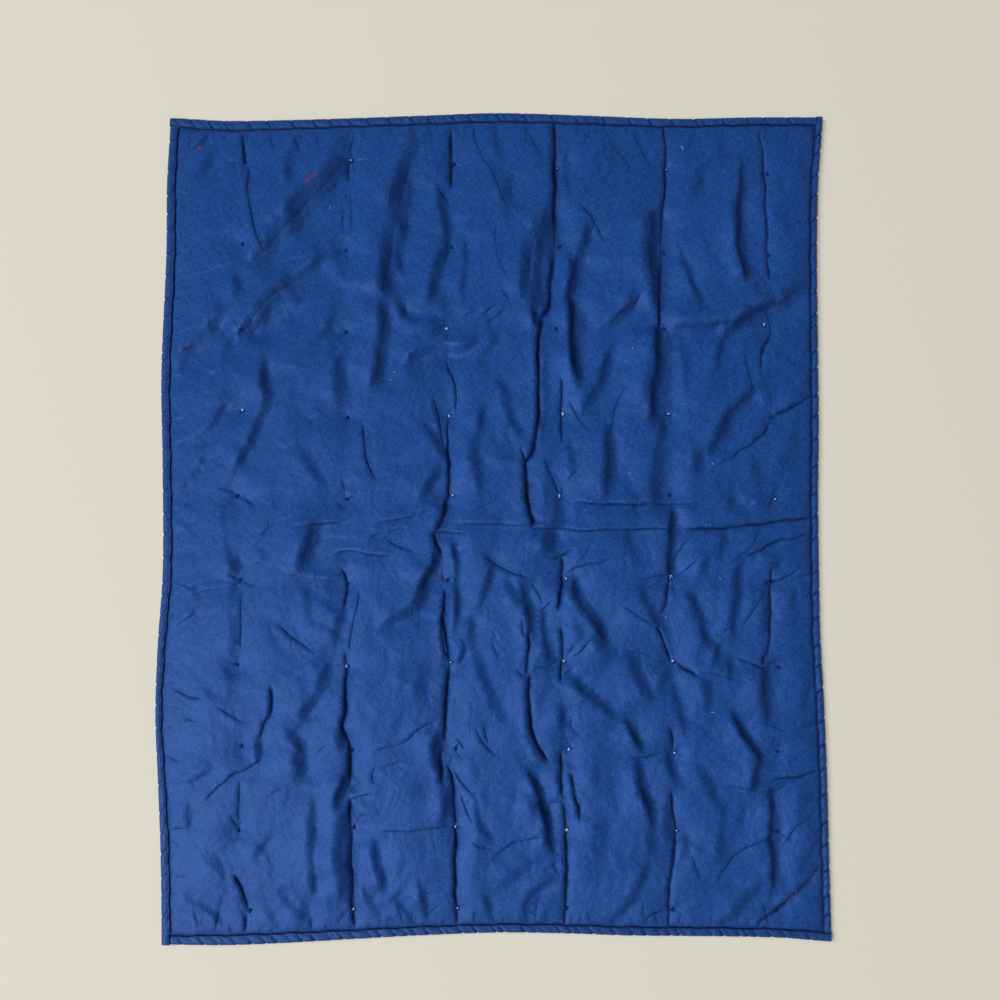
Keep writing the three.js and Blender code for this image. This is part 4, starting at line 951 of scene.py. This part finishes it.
def make_piece(name, points, faces, material):
    """A mesh piece from points in millimetres."""
    mesh = bpy.data.meshes.new(name)
    mesh.from_pydata((np.asarray(points, float) * MM).tolist(), [], np.asarray(faces).tolist())
    mesh.polygons.foreach_set("use_smooth", [True] * len(mesh.polygons))
    mesh.materials.append(material)
    piece = bpy.data.objects.new(name, mesh)
    bpy.context.scene.collection.objects.link(piece)
    return piece


def give_points(piece, name, kind, values):
    """Stores one value for each point of a piece, for its material to read."""
    layer = piece.data.attributes.new(name, kind, "POINT")
    field = "vector" if kind == "FLOAT_VECTOR" else "value"
    layer.data.foreach_set(field, np.asarray(values, np.float32).ravel())


def linear(hex_colour):
    """An sRGB hex colour as linear red, green, blue and full opacity."""
    shades = [int(hex_colour[k:k + 2], 16) / 255 for k in (1, 3, 5)]
    return [c / 12.92 if c <= 0.04045 else ((c + 0.055) / 1.055) ** 2.4 for c in shades] + [1.0]


def add_node(tree, kind, settings=(), inputs=()):
    """Adds a node, makes its settings and gives its inputs a value or a link.

    The inputs of a colour mix go by number: 0 is the share, and 6 and 7 are the two colours."""
    node = tree.nodes.new(kind)
    for name, value in dict(settings).items():
        setattr(node, name, value)
    for socket, value in dict(inputs).items():
        if isinstance(value, bpy.types.NodeSocket):
            tree.links.new(value, node.inputs[socket])
        else:
            node.inputs[socket].default_value = value
    return node


def cotton_broadcloth(name, cloth_hex, worn_hex, painted_shade_hex, stains):
    """Washed cotton broadcloth, woven plain with slightly slubby yarn: matt, lighter in soft random patches
    where it is worn, and darkened down in the folds by painted shade."""
    material = bpy.data.materials.new(name)
    material.use_nodes = True
    tree = material.node_tree
    shader = tree.nodes["Principled BSDF"]
    place = add_node(tree, "ShaderNodeAttribute", {"attribute_name": "cut_place"}).outputs["Vector"]
    # The yarns lie 0.35 mm apart, too fine to show, so the slubs are drawn 1.4 mm thick and 8 mm long.
    slubs = []
    for stretch in ((1 / 1.4, 1 / 8, 1), (1 / 8, 1 / 1.4, 1)):
        yarn = add_node(tree, "ShaderNodeVectorMath", {"operation": "MULTIPLY"},
                        {0: place, 1: stretch}).outputs[0]
        slubs.append(add_node(tree, "ShaderNodeTexNoise", {"noise_dimensions": "2D"},
                              {"Vector": yarn, "Scale": 1.0, "Detail": 2.0, "Roughness": 0.5}).outputs["Fac"])
    weave = add_node(tree, "ShaderNodeMath", {"operation": "ADD"}, {0: slubs[0], 1: slubs[1]}).outputs[0]
    # Wear comes in soft patches 35 mm across and crumples 7 mm across.
    patches = add_node(tree, "ShaderNodeTexNoise", {"noise_dimensions": "2D"},
                       {"Vector": place, "Scale": 1 / 35, "Detail": 3.0}).outputs["Fac"]
    crumples = add_node(tree, "ShaderNodeTexNoise", {"noise_dimensions": "2D"},
                        {"Vector": place, "Scale": 1 / 7, "Detail": 3.0, "Distortion": 0.6}).outputs["Fac"]
    worn = add_node(tree, "ShaderNodeMath", {"operation": "MULTIPLY_ADD"},
                    {0: patches, 1: 0.25, 2: weave}).outputs[0]
    worn = add_node(tree, "ShaderNodeMapRange", {}, {"Value": worn, "From Min": 0.88,
                                                     "From Max": 1.36}).outputs[0]
    colour = add_node(tree, "ShaderNodeMix", {"data_type": "RGBA"},
                      {0: worn, 6: linear(cloth_hex), 7: linear(worn_hex)}).outputs[2]
    for middle, size, stain_hex in stains:
        away = add_node(tree, "ShaderNodeVectorMath", {"operation": "DISTANCE"},
                        {0: place, 1: middle}).outputs["Value"]
        edge_of_stain = add_node(tree, "ShaderNodeMath", {"operation": "MULTIPLY_ADD"},
                                 {0: crumples, 1: size, 2: away}).outputs[0]
        cover = add_node(tree, "ShaderNodeMapRange", {}, {"Value": edge_of_stain, "From Min": size * 1.6,
                                                          "From Max": size * 0.9}).outputs[0]
        colour = add_node(tree, "ShaderNodeMix", {"data_type": "RGBA"},
                          {0: cover, 6: colour, 7: linear(stain_hex)}).outputs[2]
    # Painted shade: the colour is darkened towards the fold colour by each point's stored value.
    shaded = add_node(tree, "ShaderNodeAttribute", {"attribute_name": "painted_fold_shade"}).outputs["Fac"]
    colour = add_node(tree, "ShaderNodeMix", {"data_type": "RGBA"},
                      {0: shaded, 6: colour, 7: linear(painted_shade_hex)}).outputs[2]
    tree.links.new(colour, shader.inputs["Base Color"])
    # Washed cotton keeps faint sharp creases 27 to 40 mm apart, in three slants.
    relief = add_node(tree, "ShaderNodeMath", {"operation": "MULTIPLY_ADD"},
                      {0: crumples, 1: 1.6, 2: weave}).outputs[0]
    for turn, apart, depth in ((0.3, 34, 11), (-0.6, 27, 9), (1.2, 40, 9)):
        turned = add_node(tree, "ShaderNodeMapping", {"vector_type": "POINT"},
                          {"Vector": place, "Rotation": (0, 0, turn),
                           "Scale": (1 / apart, 0.75 / apart, 1)}).outputs[0]
        swell = add_node(tree, "ShaderNodeTexNoise", {"noise_dimensions": "2D"},
                         {"Vector": turned, "Scale": 1.0, "Detail": 1.5, "Distortion": 0.5}).outputs["Fac"]
        fold = add_node(tree, "ShaderNodeMath", {"operation": "SUBTRACT"}, {0: swell, 1: 0.5}).outputs[0]
        fold = add_node(tree, "ShaderNodeMath", {"operation": "ABSOLUTE"}, {0: fold}).outputs[0]
        relief = add_node(tree, "ShaderNodeMath", {"operation": "MULTIPLY_ADD"},
                          {0: fold, 1: depth, 2: relief}).outputs[0]
    bump = add_node(tree, "ShaderNodeBump", {}, {"Height": relief, "Distance": 0.00016,
                                                 "Strength": 0.9}).outputs[0]
    tree.links.new(bump, shader.inputs["Normal"])
    shader.inputs["Roughness"].default_value = 0.56
    shader.inputs["IOR"].default_value = 1.5
    shader.inputs["Specular IOR Level"].default_value = 1.0
    shader.inputs["Specular Tint"].default_value = linear("#7A9FF6")
    shader.inputs["Sheen Weight"].default_value = 0.06
    shader.inputs["Sheen Roughness"].default_value = 0.5
    shader.inputs["Sheen Tint"].default_value = linear("#6F94E0")
    return material


RED_MARKS = [((-410, 529, 0), 3.4, "#6E2C50"), ((-257, 478, 0), 3.2, "#5C2A58"),
             ((-253.5, 480.5, 0), 3.0, "#5C2A58"), ((-250, 483, 0), 3.2, "#5C2A58"),
             ((-246, 486, 0), 2.6, "#5C2A58")]
# Its third colour is the painted shade mixed into the folds and along the seams.
body_cloth = cotton_broadcloth("royal_blue_broadcloth", "#0C2F67", "#174486", "#06133C", RED_MARKS)
body = make_piece("padded_body", body_points, body_faces, body_cloth)
give_points(body, "cut_place", "FLOAT_VECTOR", np.pad(body_cut, ((0, 0), (0, 1))))
give_points(body, "painted_fold_shade", "FLOAT", np.pad(painted_fold_shade.ravel(), (0, len(body_points) - painted_fold_shade.size)))
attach(body, "root")
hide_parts("quilt_body")

# ---- Binding ----
# Four straight strips of the same broadcloth, folded lengthwise over the raw edge with both of their
# own edges turned under, then sewn through. The machine drags the cloth, so the strip puckers aslant.

BINDING_HEIGHT = 5.6
HEM = 5.0                # cloth turned under along each edge of the strip
BUTT_GAP = 0.5
CORNER = 15
SLANT = 0.75             # how far a pucker leans along the strip for each millimetre across it
GATHER = 15              # small puckers come about this far apart
# Painted shade: how much the colour is darkened down in a gather, at each place outward from the seam, and
# along the seam.
GATHER_SHADE = (1.0, 1.0, 1.0, 1.0, 0.8, 0.6, 0.45)
SEAM_SHADE = (0.95, 0.7, 0.2)
INSIDE_PLACES = 14       # places of the section that face the inside of the fold


def strip_section(strip, swell):
    """The folded strip cut across: how far in from its fold and how high, from its upper inner edge
    over the fold to its lower inner edge, then back along the inside round both turned-under hems."""
    crown = BINDING_HEIGHT - 0.5 + swell
    outside = [(0.0, 4.5), (0.06, 4.7), (0.14, 4.65 + 0.3 * swell), (0.26, 4.9 + swell * 0.7),
               (0.42, crown), (0.6, crown + 0.05), (0.74, crown - 0.15), (0.86, 4.6 + 0.5 * swell),
               (0.95, 3.8 + 0.3 * swell)]
    section = [(strip * (1 - share), max(height, 4.1 if share < 0.7 else 3.2)) for share, height in outside]
    section += [(0.0, 2.9), (0.25, 1.6), (1.2, 0.5), (2.6, 0.0), (strip * 0.5, 0.0), (strip, 0.0)]
    section += [(strip, 1.15), (strip - HEM, 1.15), (strip - HEM, 0.7), (strip - 0.8, 0.7),
                (strip - 0.8, 0.5), (2.9, 0.5), (1.7, 1.6), (1.6, 2.4), (2.9, 3.75), (strip - 0.8, 3.8),
                (strip - 0.8, 3.55), (strip - HEM, 3.55), (strip - HEM, 3.2), (strip, 3.2)]
    return section


def strip_stations(start, end, puckers):
    """Stations along a strip with one on each pucker, and how swollen the strip is at each."""
    stops = [start] + sorted(p for p in puckers if start + 4 < p < end - 4) + [end]
    stations = []
    swell = []
    for a, b in zip(stops, stops[1:]):
        count = max(int(round((b - a) / 2.6)), 2)
        for k in range(count):
            t = k / count
            stations.append(a + (b - a) * t)
            swell.append(math.sin(math.pi * t) ** 0.4)
    return np.array(stations + [end]), np.array(swell + [0])


def binding_strip(side, draw):
    """Points, cut places, painted shade and faces of one strip."""
    vertical = side in ("left", "right")
    half = HALF_WIDTH if vertical else HALF_LENGTH
    long_half = HALF_LENGTH if vertical else HALF_WIDTH
    outward = 1 if side in ("top", "right") else -1

    def butt(other, at):
        return BUTT_GAP + max(along(other, STRIP, at), along(other, STRIP, at - math.copysign(CORNER, at)))

    start, end = {
        "top": (-long_half, long_half - butt("right", long_half)),
        "right": (-long_half + butt("bottom", HALF_WIDTH), long_half),
        "bottom": (-long_half + butt("left", -HALF_LENGTH), long_half),
        "left": (-long_half, long_half - butt("top", -HALF_WIDTH)),
    }[side]
    small = [start + GATHER * k + draw.uniform(-5, 5) for k in range(1, int((end - start) / GATHER))]
    strong = PUCKERS[side]
    small = [p for p in small if min(abs(p - q) for q in strong) > 7]
    stations, swell = strip_stations(start, end, strong + small)
    strength = np.array([draw.uniform(1.0, 2.0) if min(abs(s - q) for q in strong) < 0.01
                         else draw.uniform(0.05, 0.5) for s in stations])
    lean = SLANT * np.clip(np.minimum(stations - start, end - stations) / 30, 0, 1)
    lean *= draw.uniform(0.7, 1.3, len(stations)).cumsum() / np.arange(1, len(stations) + 1)
    points = []
    cut = []
    shaded = []
    sections = []
    for where, puff, hold, tilt in zip(stations, swell, strength, lean):
        strip = float(seam(side, where))
        pinch = (1 - puff) * hold
        section = strip_section(strip, 0.8 * puff - 1.2 * pinch)
        if abs(where) > long_half - 0.01:
            # the corner end is tucked in, so the inside of the fold closes up
            inside = len(section) - INSIDE_PLACES
            section[inside:] = [(inset, 2.25 + 0.06 * (height - 2.25)) for inset, height in section[inside:]]
        sections.append(section)
        for place, (inset, height) in enumerate(section):
            inset += (0.75 * pinch if place < 12 else 0.3) * (1 - inset / strip)
            moved = where + outward * (1 if vertical else -1) * tilt * (strip / 2 - inset)
            moved = min(max(moved, start), end) if stations[0] < where < stations[-1] else where
            across = outward * (half - inset)
            u, v = (across, moved) if vertical else (moved, across)
            x, y = laid(np.float64(u), np.float64(v))
            points.append((x, y, height))
            cut.append((u, v))
            # Painted shade darkens the strip's colour down in each gather and along the seam.
            gather_shade = GATHER_SHADE[min(place, len(GATHER_SHADE) - 1)] * pinch ** 1.5
            seam_shade = SEAM_SHADE[place] if place < len(SEAM_SHADE) else 0.0
            shaded.append(max(min(0.95, gather_shade), seam_shade))
    size = len(section)
    faces = []
    for s in range(len(stations) - 1):
        for k in range(size):
            a = s * size + k
            b = s * size + (k + 1) % size
            faces += [(a, a + size, b + size), (a, b + size, b)]
    last = (len(stations) - 1) * size
    for first, section in ((0, sections[0]), (last, sections[-1])):
        for a, b, c in tessellate_polygon([[Vector((inset, height, 0)) for inset, height in section]]):
            turn = ((section[b][0] - section[a][0]) * (section[c][1] - section[a][1])
                    - (section[c][0] - section[a][0]) * (section[b][1] - section[a][1]))
            if (turn < 0) == (first == last):
                a, c = c, a
            faces.append((first + a, first + b, first + c))
    if side in ("bottom", "right"):
        faces = [face[::-1] for face in faces]
    return np.array(points), np.array(cut), shaded, faces


# Its third colour is the painted shade in the gathers and along the seam.
binding_cloth = cotton_broadcloth("blue_binding_broadcloth", "#13326A", "#1A4179", "#06133A", [])
for side in SIDES:
    points, cut, shaded, faces = binding_strip(side, draw)
    strip = make_piece(side + "_binding", points, faces, binding_cloth)
    give_points(strip, "cut_place", "FLOAT_VECTOR", np.pad(cut, ((0, 0), (0, 1))))
    give_points(strip, "painted_fold_shade", "FLOAT", shaded)
    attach(strip, "root")
    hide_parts("binding_" + side)

# ---- Machine stitching ----
# One row of dark navy sewing thread along the inner edge of every strip, in stitches pulled down into
# the cloth.

STITCH = 2.5
STITCH_PITCH = 3.0
SEWING_THREAD = 0.42
SEAM_TOP = 4.75          # the thread lies in the corner where the strip meets the padding


def tube(path, thickness, sides, taper=1.0):
    """A closed round thread along a path of points; taper is how thick it ends."""
    path = np.array(path, float)
    heading = np.gradient(path, axis=0)
    heading /= np.linalg.norm(heading, axis=1)[:, None]
    side = np.cross(heading, (0.13, 0.21, 0.97))
    side /= np.linalg.norm(side, axis=1)[:, None]
    up = np.cross(side, heading)
    turn = np.linspace(0, 2 * np.pi, sides, endpoint=False)
    radius = thickness / 2 * np.linspace(1, taper, len(path))
    radius[0] *= 0.6
    radius[-1] *= 0.6
    ring = side[:, None] * np.cos(turn)[None, :, None] + up[:, None] * np.sin(turn)[None, :, None]
    points = (path[:, None] + ring * radius[:, None, None]).reshape(-1, 3)
    faces = []
    for k in range(len(path) - 1):
        for m in range(sides):
            a = k * sides + m
            b = k * sides + (m + 1) % sides
            faces += [(a, b, b + sides), (a, b + sides, a + sides)]
    last = (len(path) - 1) * sides
    for m in range(1, sides - 1):
        faces += [(0, m + 1, m), (last, last + m, last + m + 1)]
    return points, np.array(faces)


def gathered(parts):
    """One mesh's points and faces from many."""
    first = 0
    points = []
    faces = []
    for part_points, part_faces in parts:
        points.append(part_points)
        faces.append(part_faces + first)
        first += len(part_points)
    return np.concatenate(points), np.concatenate(faces)


def spun_thread(name, thread_hex, rough):
    """Spun cotton thread: matt and slightly hairy, its dye a little uneven along its length."""
    material = bpy.data.materials.new(name)
    material.use_nodes = True
    tree = material.node_tree
    shader = tree.nodes["Principled BSDF"]
    place = add_node(tree, "ShaderNodeTexCoord").outputs["Object"]
    uneven_dye = add_node(tree, "ShaderNodeTexNoise", {}, {"Vector": place, "Scale": 900.0,
                                                           "Detail": 2.0}).outputs["Fac"]
    deep = [c * 0.65 for c in linear(thread_hex)[:3]] + [1.0]
    colour = add_node(tree, "ShaderNodeMix", {"data_type": "RGBA"},
                      {0: uneven_dye, 6: deep, 7: linear(thread_hex)}).outputs[2]
    tree.links.new(colour, shader.inputs["Base Color"])
    bump = add_node(tree, "ShaderNodeBump", {}, {"Height": uneven_dye, "Distance": 0.0002,
                                                 "Strength": 0.7}).outputs[0]
    tree.links.new(bump, shader.inputs["Normal"])
    shader.inputs["Roughness"].default_value = rough
    shader.inputs["IOR"].default_value = 1.5
    shader.inputs["Specular IOR Level"].default_value = 0.2
    return material


navy_thread = spun_thread("navy_cotton_thread", "#0C2868", 0.8)
stitches = []
for side in SIDES:
    vertical = side in ("left", "right")
    half = HALF_WIDTH if vertical else HALF_LENGTH
    long_half = HALF_LENGTH if vertical else HALF_WIDTH
    outward = 1 if side in ("top", "right") else -1
    for where in np.arange(-long_half + 14, long_half - 14, STITCH_PITCH):
        path = []
        for t in np.linspace(-0.5, 0.5, 5):
            at = where + t * STITCH
            across = outward * (half - float(seam(side, at)) + 0.75 + draw.uniform(-0.1, 0.1))
            u, v = (across, at) if vertical else (at, across)
            x, y = laid(np.float64(u), np.float64(v))
            path.append((x, y, SEAM_TOP - 0.35 * (2 * abs(t)) ** 4))
        stitches.append(tube(path, SEWING_THREAD, 5))
stitch_points, stitch_faces = gathered(stitches)
stitching = make_piece("binding_stitching", stitch_points, stitch_faces, navy_thread)
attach(stitching, "root")

# ---- Ties ----
# Sixty short lengths of dark navy cotton thread, each passed down through the whole pad and up again and
# knotted on top, with its two ends cut short. At many of them a wisp of white batting has worked out.

TIE_THREAD = 1.45        # thickness of the doubled thread in the knot
TIE_END = 0.75           # and of each loose end
body_surface = BVHTree.FromPolygons((body_points[:len(top_points)] * MM).tolist(),
                                    body_faces[(body_faces < len(top_points)).all(1)].tolist())


def cloth_height(x, y):
    """Height of the top cloth at a place."""
    hit = body_surface.ray_cast(Vector((x * MM, y * MM, 0.1)), Vector((0, 0, -1)))[0]
    return hit.z / MM


def lying_thread(x, y, length, start_turn, curl, thickness, lift, draw, taper=0.7):
    """A thread that lies on the cloth from x, y, wandering as it goes."""
    path = []
    turn = start_turn
    steps = max(int(length / 0.8), 4)
    for k in range(steps + 1):
        height = cloth_height(x, y) + thickness * 0.3 + lift * math.sin(math.pi * min(1, k / steps + 0.25))
        path.append((x, y, height))
        turn += curl / steps + draw.uniform(-0.25, 0.25)
        x += math.cos(turn) * length / steps
        y += math.sin(turn) * length / steps
    return tube(path, thickness, 6, taper)


def tie_knot(x, y, size, turn):
    """A small tight knot: the thread loops three times over itself."""
    t = np.linspace(0, 2 * np.pi, 34)
    across = size * 0.30 * (np.sin(t + 0.4) + 1.7 * np.sin(2 * t))
    down = size * 0.24 * (np.cos(t + 0.4) - 1.7 * np.cos(2 * t))
    up = 0.9 + 0.55 * np.sin(3 * t)
    base = cloth_height(x, y)
    px = x + across * math.cos(turn) - down * math.sin(turn)
    py = y + across * math.sin(turn) + down * math.cos(turn)
    return tube(np.stack([px, py, base + up], 1), TIE_THREAD, 7)


# Ties whose white wisp shows, by their place in the rows, with how large it is.
WISPS = {14: 1.0, 20: 1.0, 21: 1.0, 27: 1.0, 26: 0.8, 22: 0.7, 17: 0.9, 29: 0.7, 37: 1.0, 33: 0.9, 38: 1.0,
         39: 1.0, 34: 1.1, 40: 1.0, 45: 1.0, 51: 1.1, 46: 0.8, 52: 0.7, 55: 1.0, 50: 0.7, 56: 0.7,
         3: 0.5, 1: 0.6, 4: 0.5, 18: 0.9}
knots = []
wisps = []
for k, (x, y) in enumerate(TIES):
    turn = draw.uniform(0, 2 * np.pi)
    knots.append(tie_knot(x, y, draw.uniform(2.9, 3.5), turn))
    for end in (0, 1):
        away = turn + end * draw.uniform(1.6, 3.6)
        knots.append(lying_thread(x, y, draw.uniform(2.6, 5.4), away, draw.uniform(-1.2, 1.2), TIE_END,
                                  0.7, draw))
    if k in WISPS:
        wisp = WISPS[k]
        off_x = x + draw.uniform(-0.8, 0.8)
        off_y = y + draw.uniform(-0.6, 1.4)
        base = cloth_height(off_x, off_y)
        for _ in range(9):
            path = []
            for _ in range(6):
                path.append((off_x + draw.uniform(-1.9, 1.9) * wisp, off_y + draw.uniform(-2.3, 2.3) * wisp,
                             base + 1.5 + draw.uniform(-0.7, 0.9) * wisp))
            path = np.array(path)
            path[1:-1] = (path[:-2] + path[2:] + path[1:-1]) / 3
            wisps.append(tube(path, 0.6 * wisp + 0.25, 5, 0.5))
knot_points, knot_faces = gathered(knots)
ties = make_piece("tie_knots", knot_points, knot_faces, navy_thread)
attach(ties, "root")

# Fluffy white polyester batting, matt and a little dusty.
batting = spun_thread("white_polyester_wisp", "#CBD8F8", 0.9)
wisp_points, wisp_faces = gathered(wisps)
white_wisps = make_piece("batting_wisps", wisp_points, wisp_faces, batting)
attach(white_wisps, "root")

# ---- Lint ----
# A few pale fibres caught on the cloth: where each lies, how long it is and which way it points.

LINT = [(266, 521, 7, 1.4), (-226, 438, 5, 1.2), (-142, 199, 4, 0.4), (-134, 209, 4, 2.0),
        (193, 240, 4, 0.6), (314, -77, 4, 1.5), (238, -130, 4, 0.2), (305, -259, 6, 2.4),
        (416, -504, 5, 1.0), (157, -512, 4, 2.2), (305, 81, 3, 0.8), (191, 68, 3, 1.7)]
fibres = [lying_thread(x, y, length, turn, 0.8, 0.5, 0.3, draw) for x, y, length, turn in LINT]
lint_points, lint_faces = gathered(fibres)
lint = make_piece("lint_fibres", lint_points, lint_faces,
                  spun_thread("pale_lint", "#C9CCD8", 0.9))
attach(lint, "root")

# ---- Floor, camera and light ----
# A plain pale floor. A broad lamp on the window side, far off and fairly low, gives the shading of the
# folds. A weaker one higher up on the near side gives the cloth its sheen towards the nearer corner.

floor_mesh = bpy.data.meshes.new("floor")
FLOOR_REACH = 6
floor_corners = [(-FLOOR_REACH, -FLOOR_REACH, 0), (FLOOR_REACH, -FLOOR_REACH, 0),
                 (FLOOR_REACH, FLOOR_REACH, 0), (-FLOOR_REACH, FLOOR_REACH, 0)]
floor_mesh.from_pydata(floor_corners, [], [(0, 1, 2, 3)])
floor = bpy.data.objects.new("floor", floor_mesh)
bpy.context.scene.collection.objects.link(floor)
floor_paint = bpy.data.materials.new("matt_pale_floor")
floor_paint.use_nodes = True
floor_shader = floor_paint.node_tree.nodes["Principled BSDF"]
floor_shader.inputs["Base Color"].default_value = linear("#D0CCBF")
floor_shader.inputs["Roughness"].default_value = 0.95
floor_mesh.materials.append(floor_paint)

# Held by hand about a metre above the quilt, a degree and a half off straight down.
camera_data = bpy.data.cameras.new("camera")
camera_data.lens = 27.2
camera = bpy.data.objects.new("camera", camera_data)
camera.location = (0.011, 0.0066, 1.051)
camera.rotation_euler = (math.radians(1.42), 0, 0)
bpy.context.scene.collection.objects.link(camera)
bpy.context.scene.camera = camera


def soft_light(name, place, size, power, hex_colour):
    """Adds a broad square lamp turned towards the middle of the cloth."""
    data = bpy.data.lights.new(name, "AREA")
    data.shape = "SQUARE"
    data.size = size
    data.energy = power
    data.color = linear(hex_colour)[:3]
    lamp = bpy.data.objects.new(name, data)
    lamp.location = place
    lamp.rotation_euler = (-Vector(place)).to_track_quat("-Z", "Y").to_euler()
    bpy.context.scene.collection.objects.link(lamp)
    return lamp


window_light = soft_light("window_side", (-18.8, 7.6, 12.4), 8.8, 4250, "#FFFDF8")
# The window shades the folds and leaves no gleam of its own on the cloth.
window_light.visible_glossy = False
soft_light("near_side", (-7.4, -5.6, 11.6), 5.0, 1560, "#FFFFFF")
room = bpy.data.worlds.new("soft_room")
room.use_nodes = True
room_glow = room.node_tree.nodes["Background"]
room_glow.inputs["Color"].default_value = linear("#F4F6FF")
room_glow.inputs["Strength"].default_value = 0.2
bpy.context.scene.world = room
bpy.context.scene.view_settings.view_transform = "Standard"
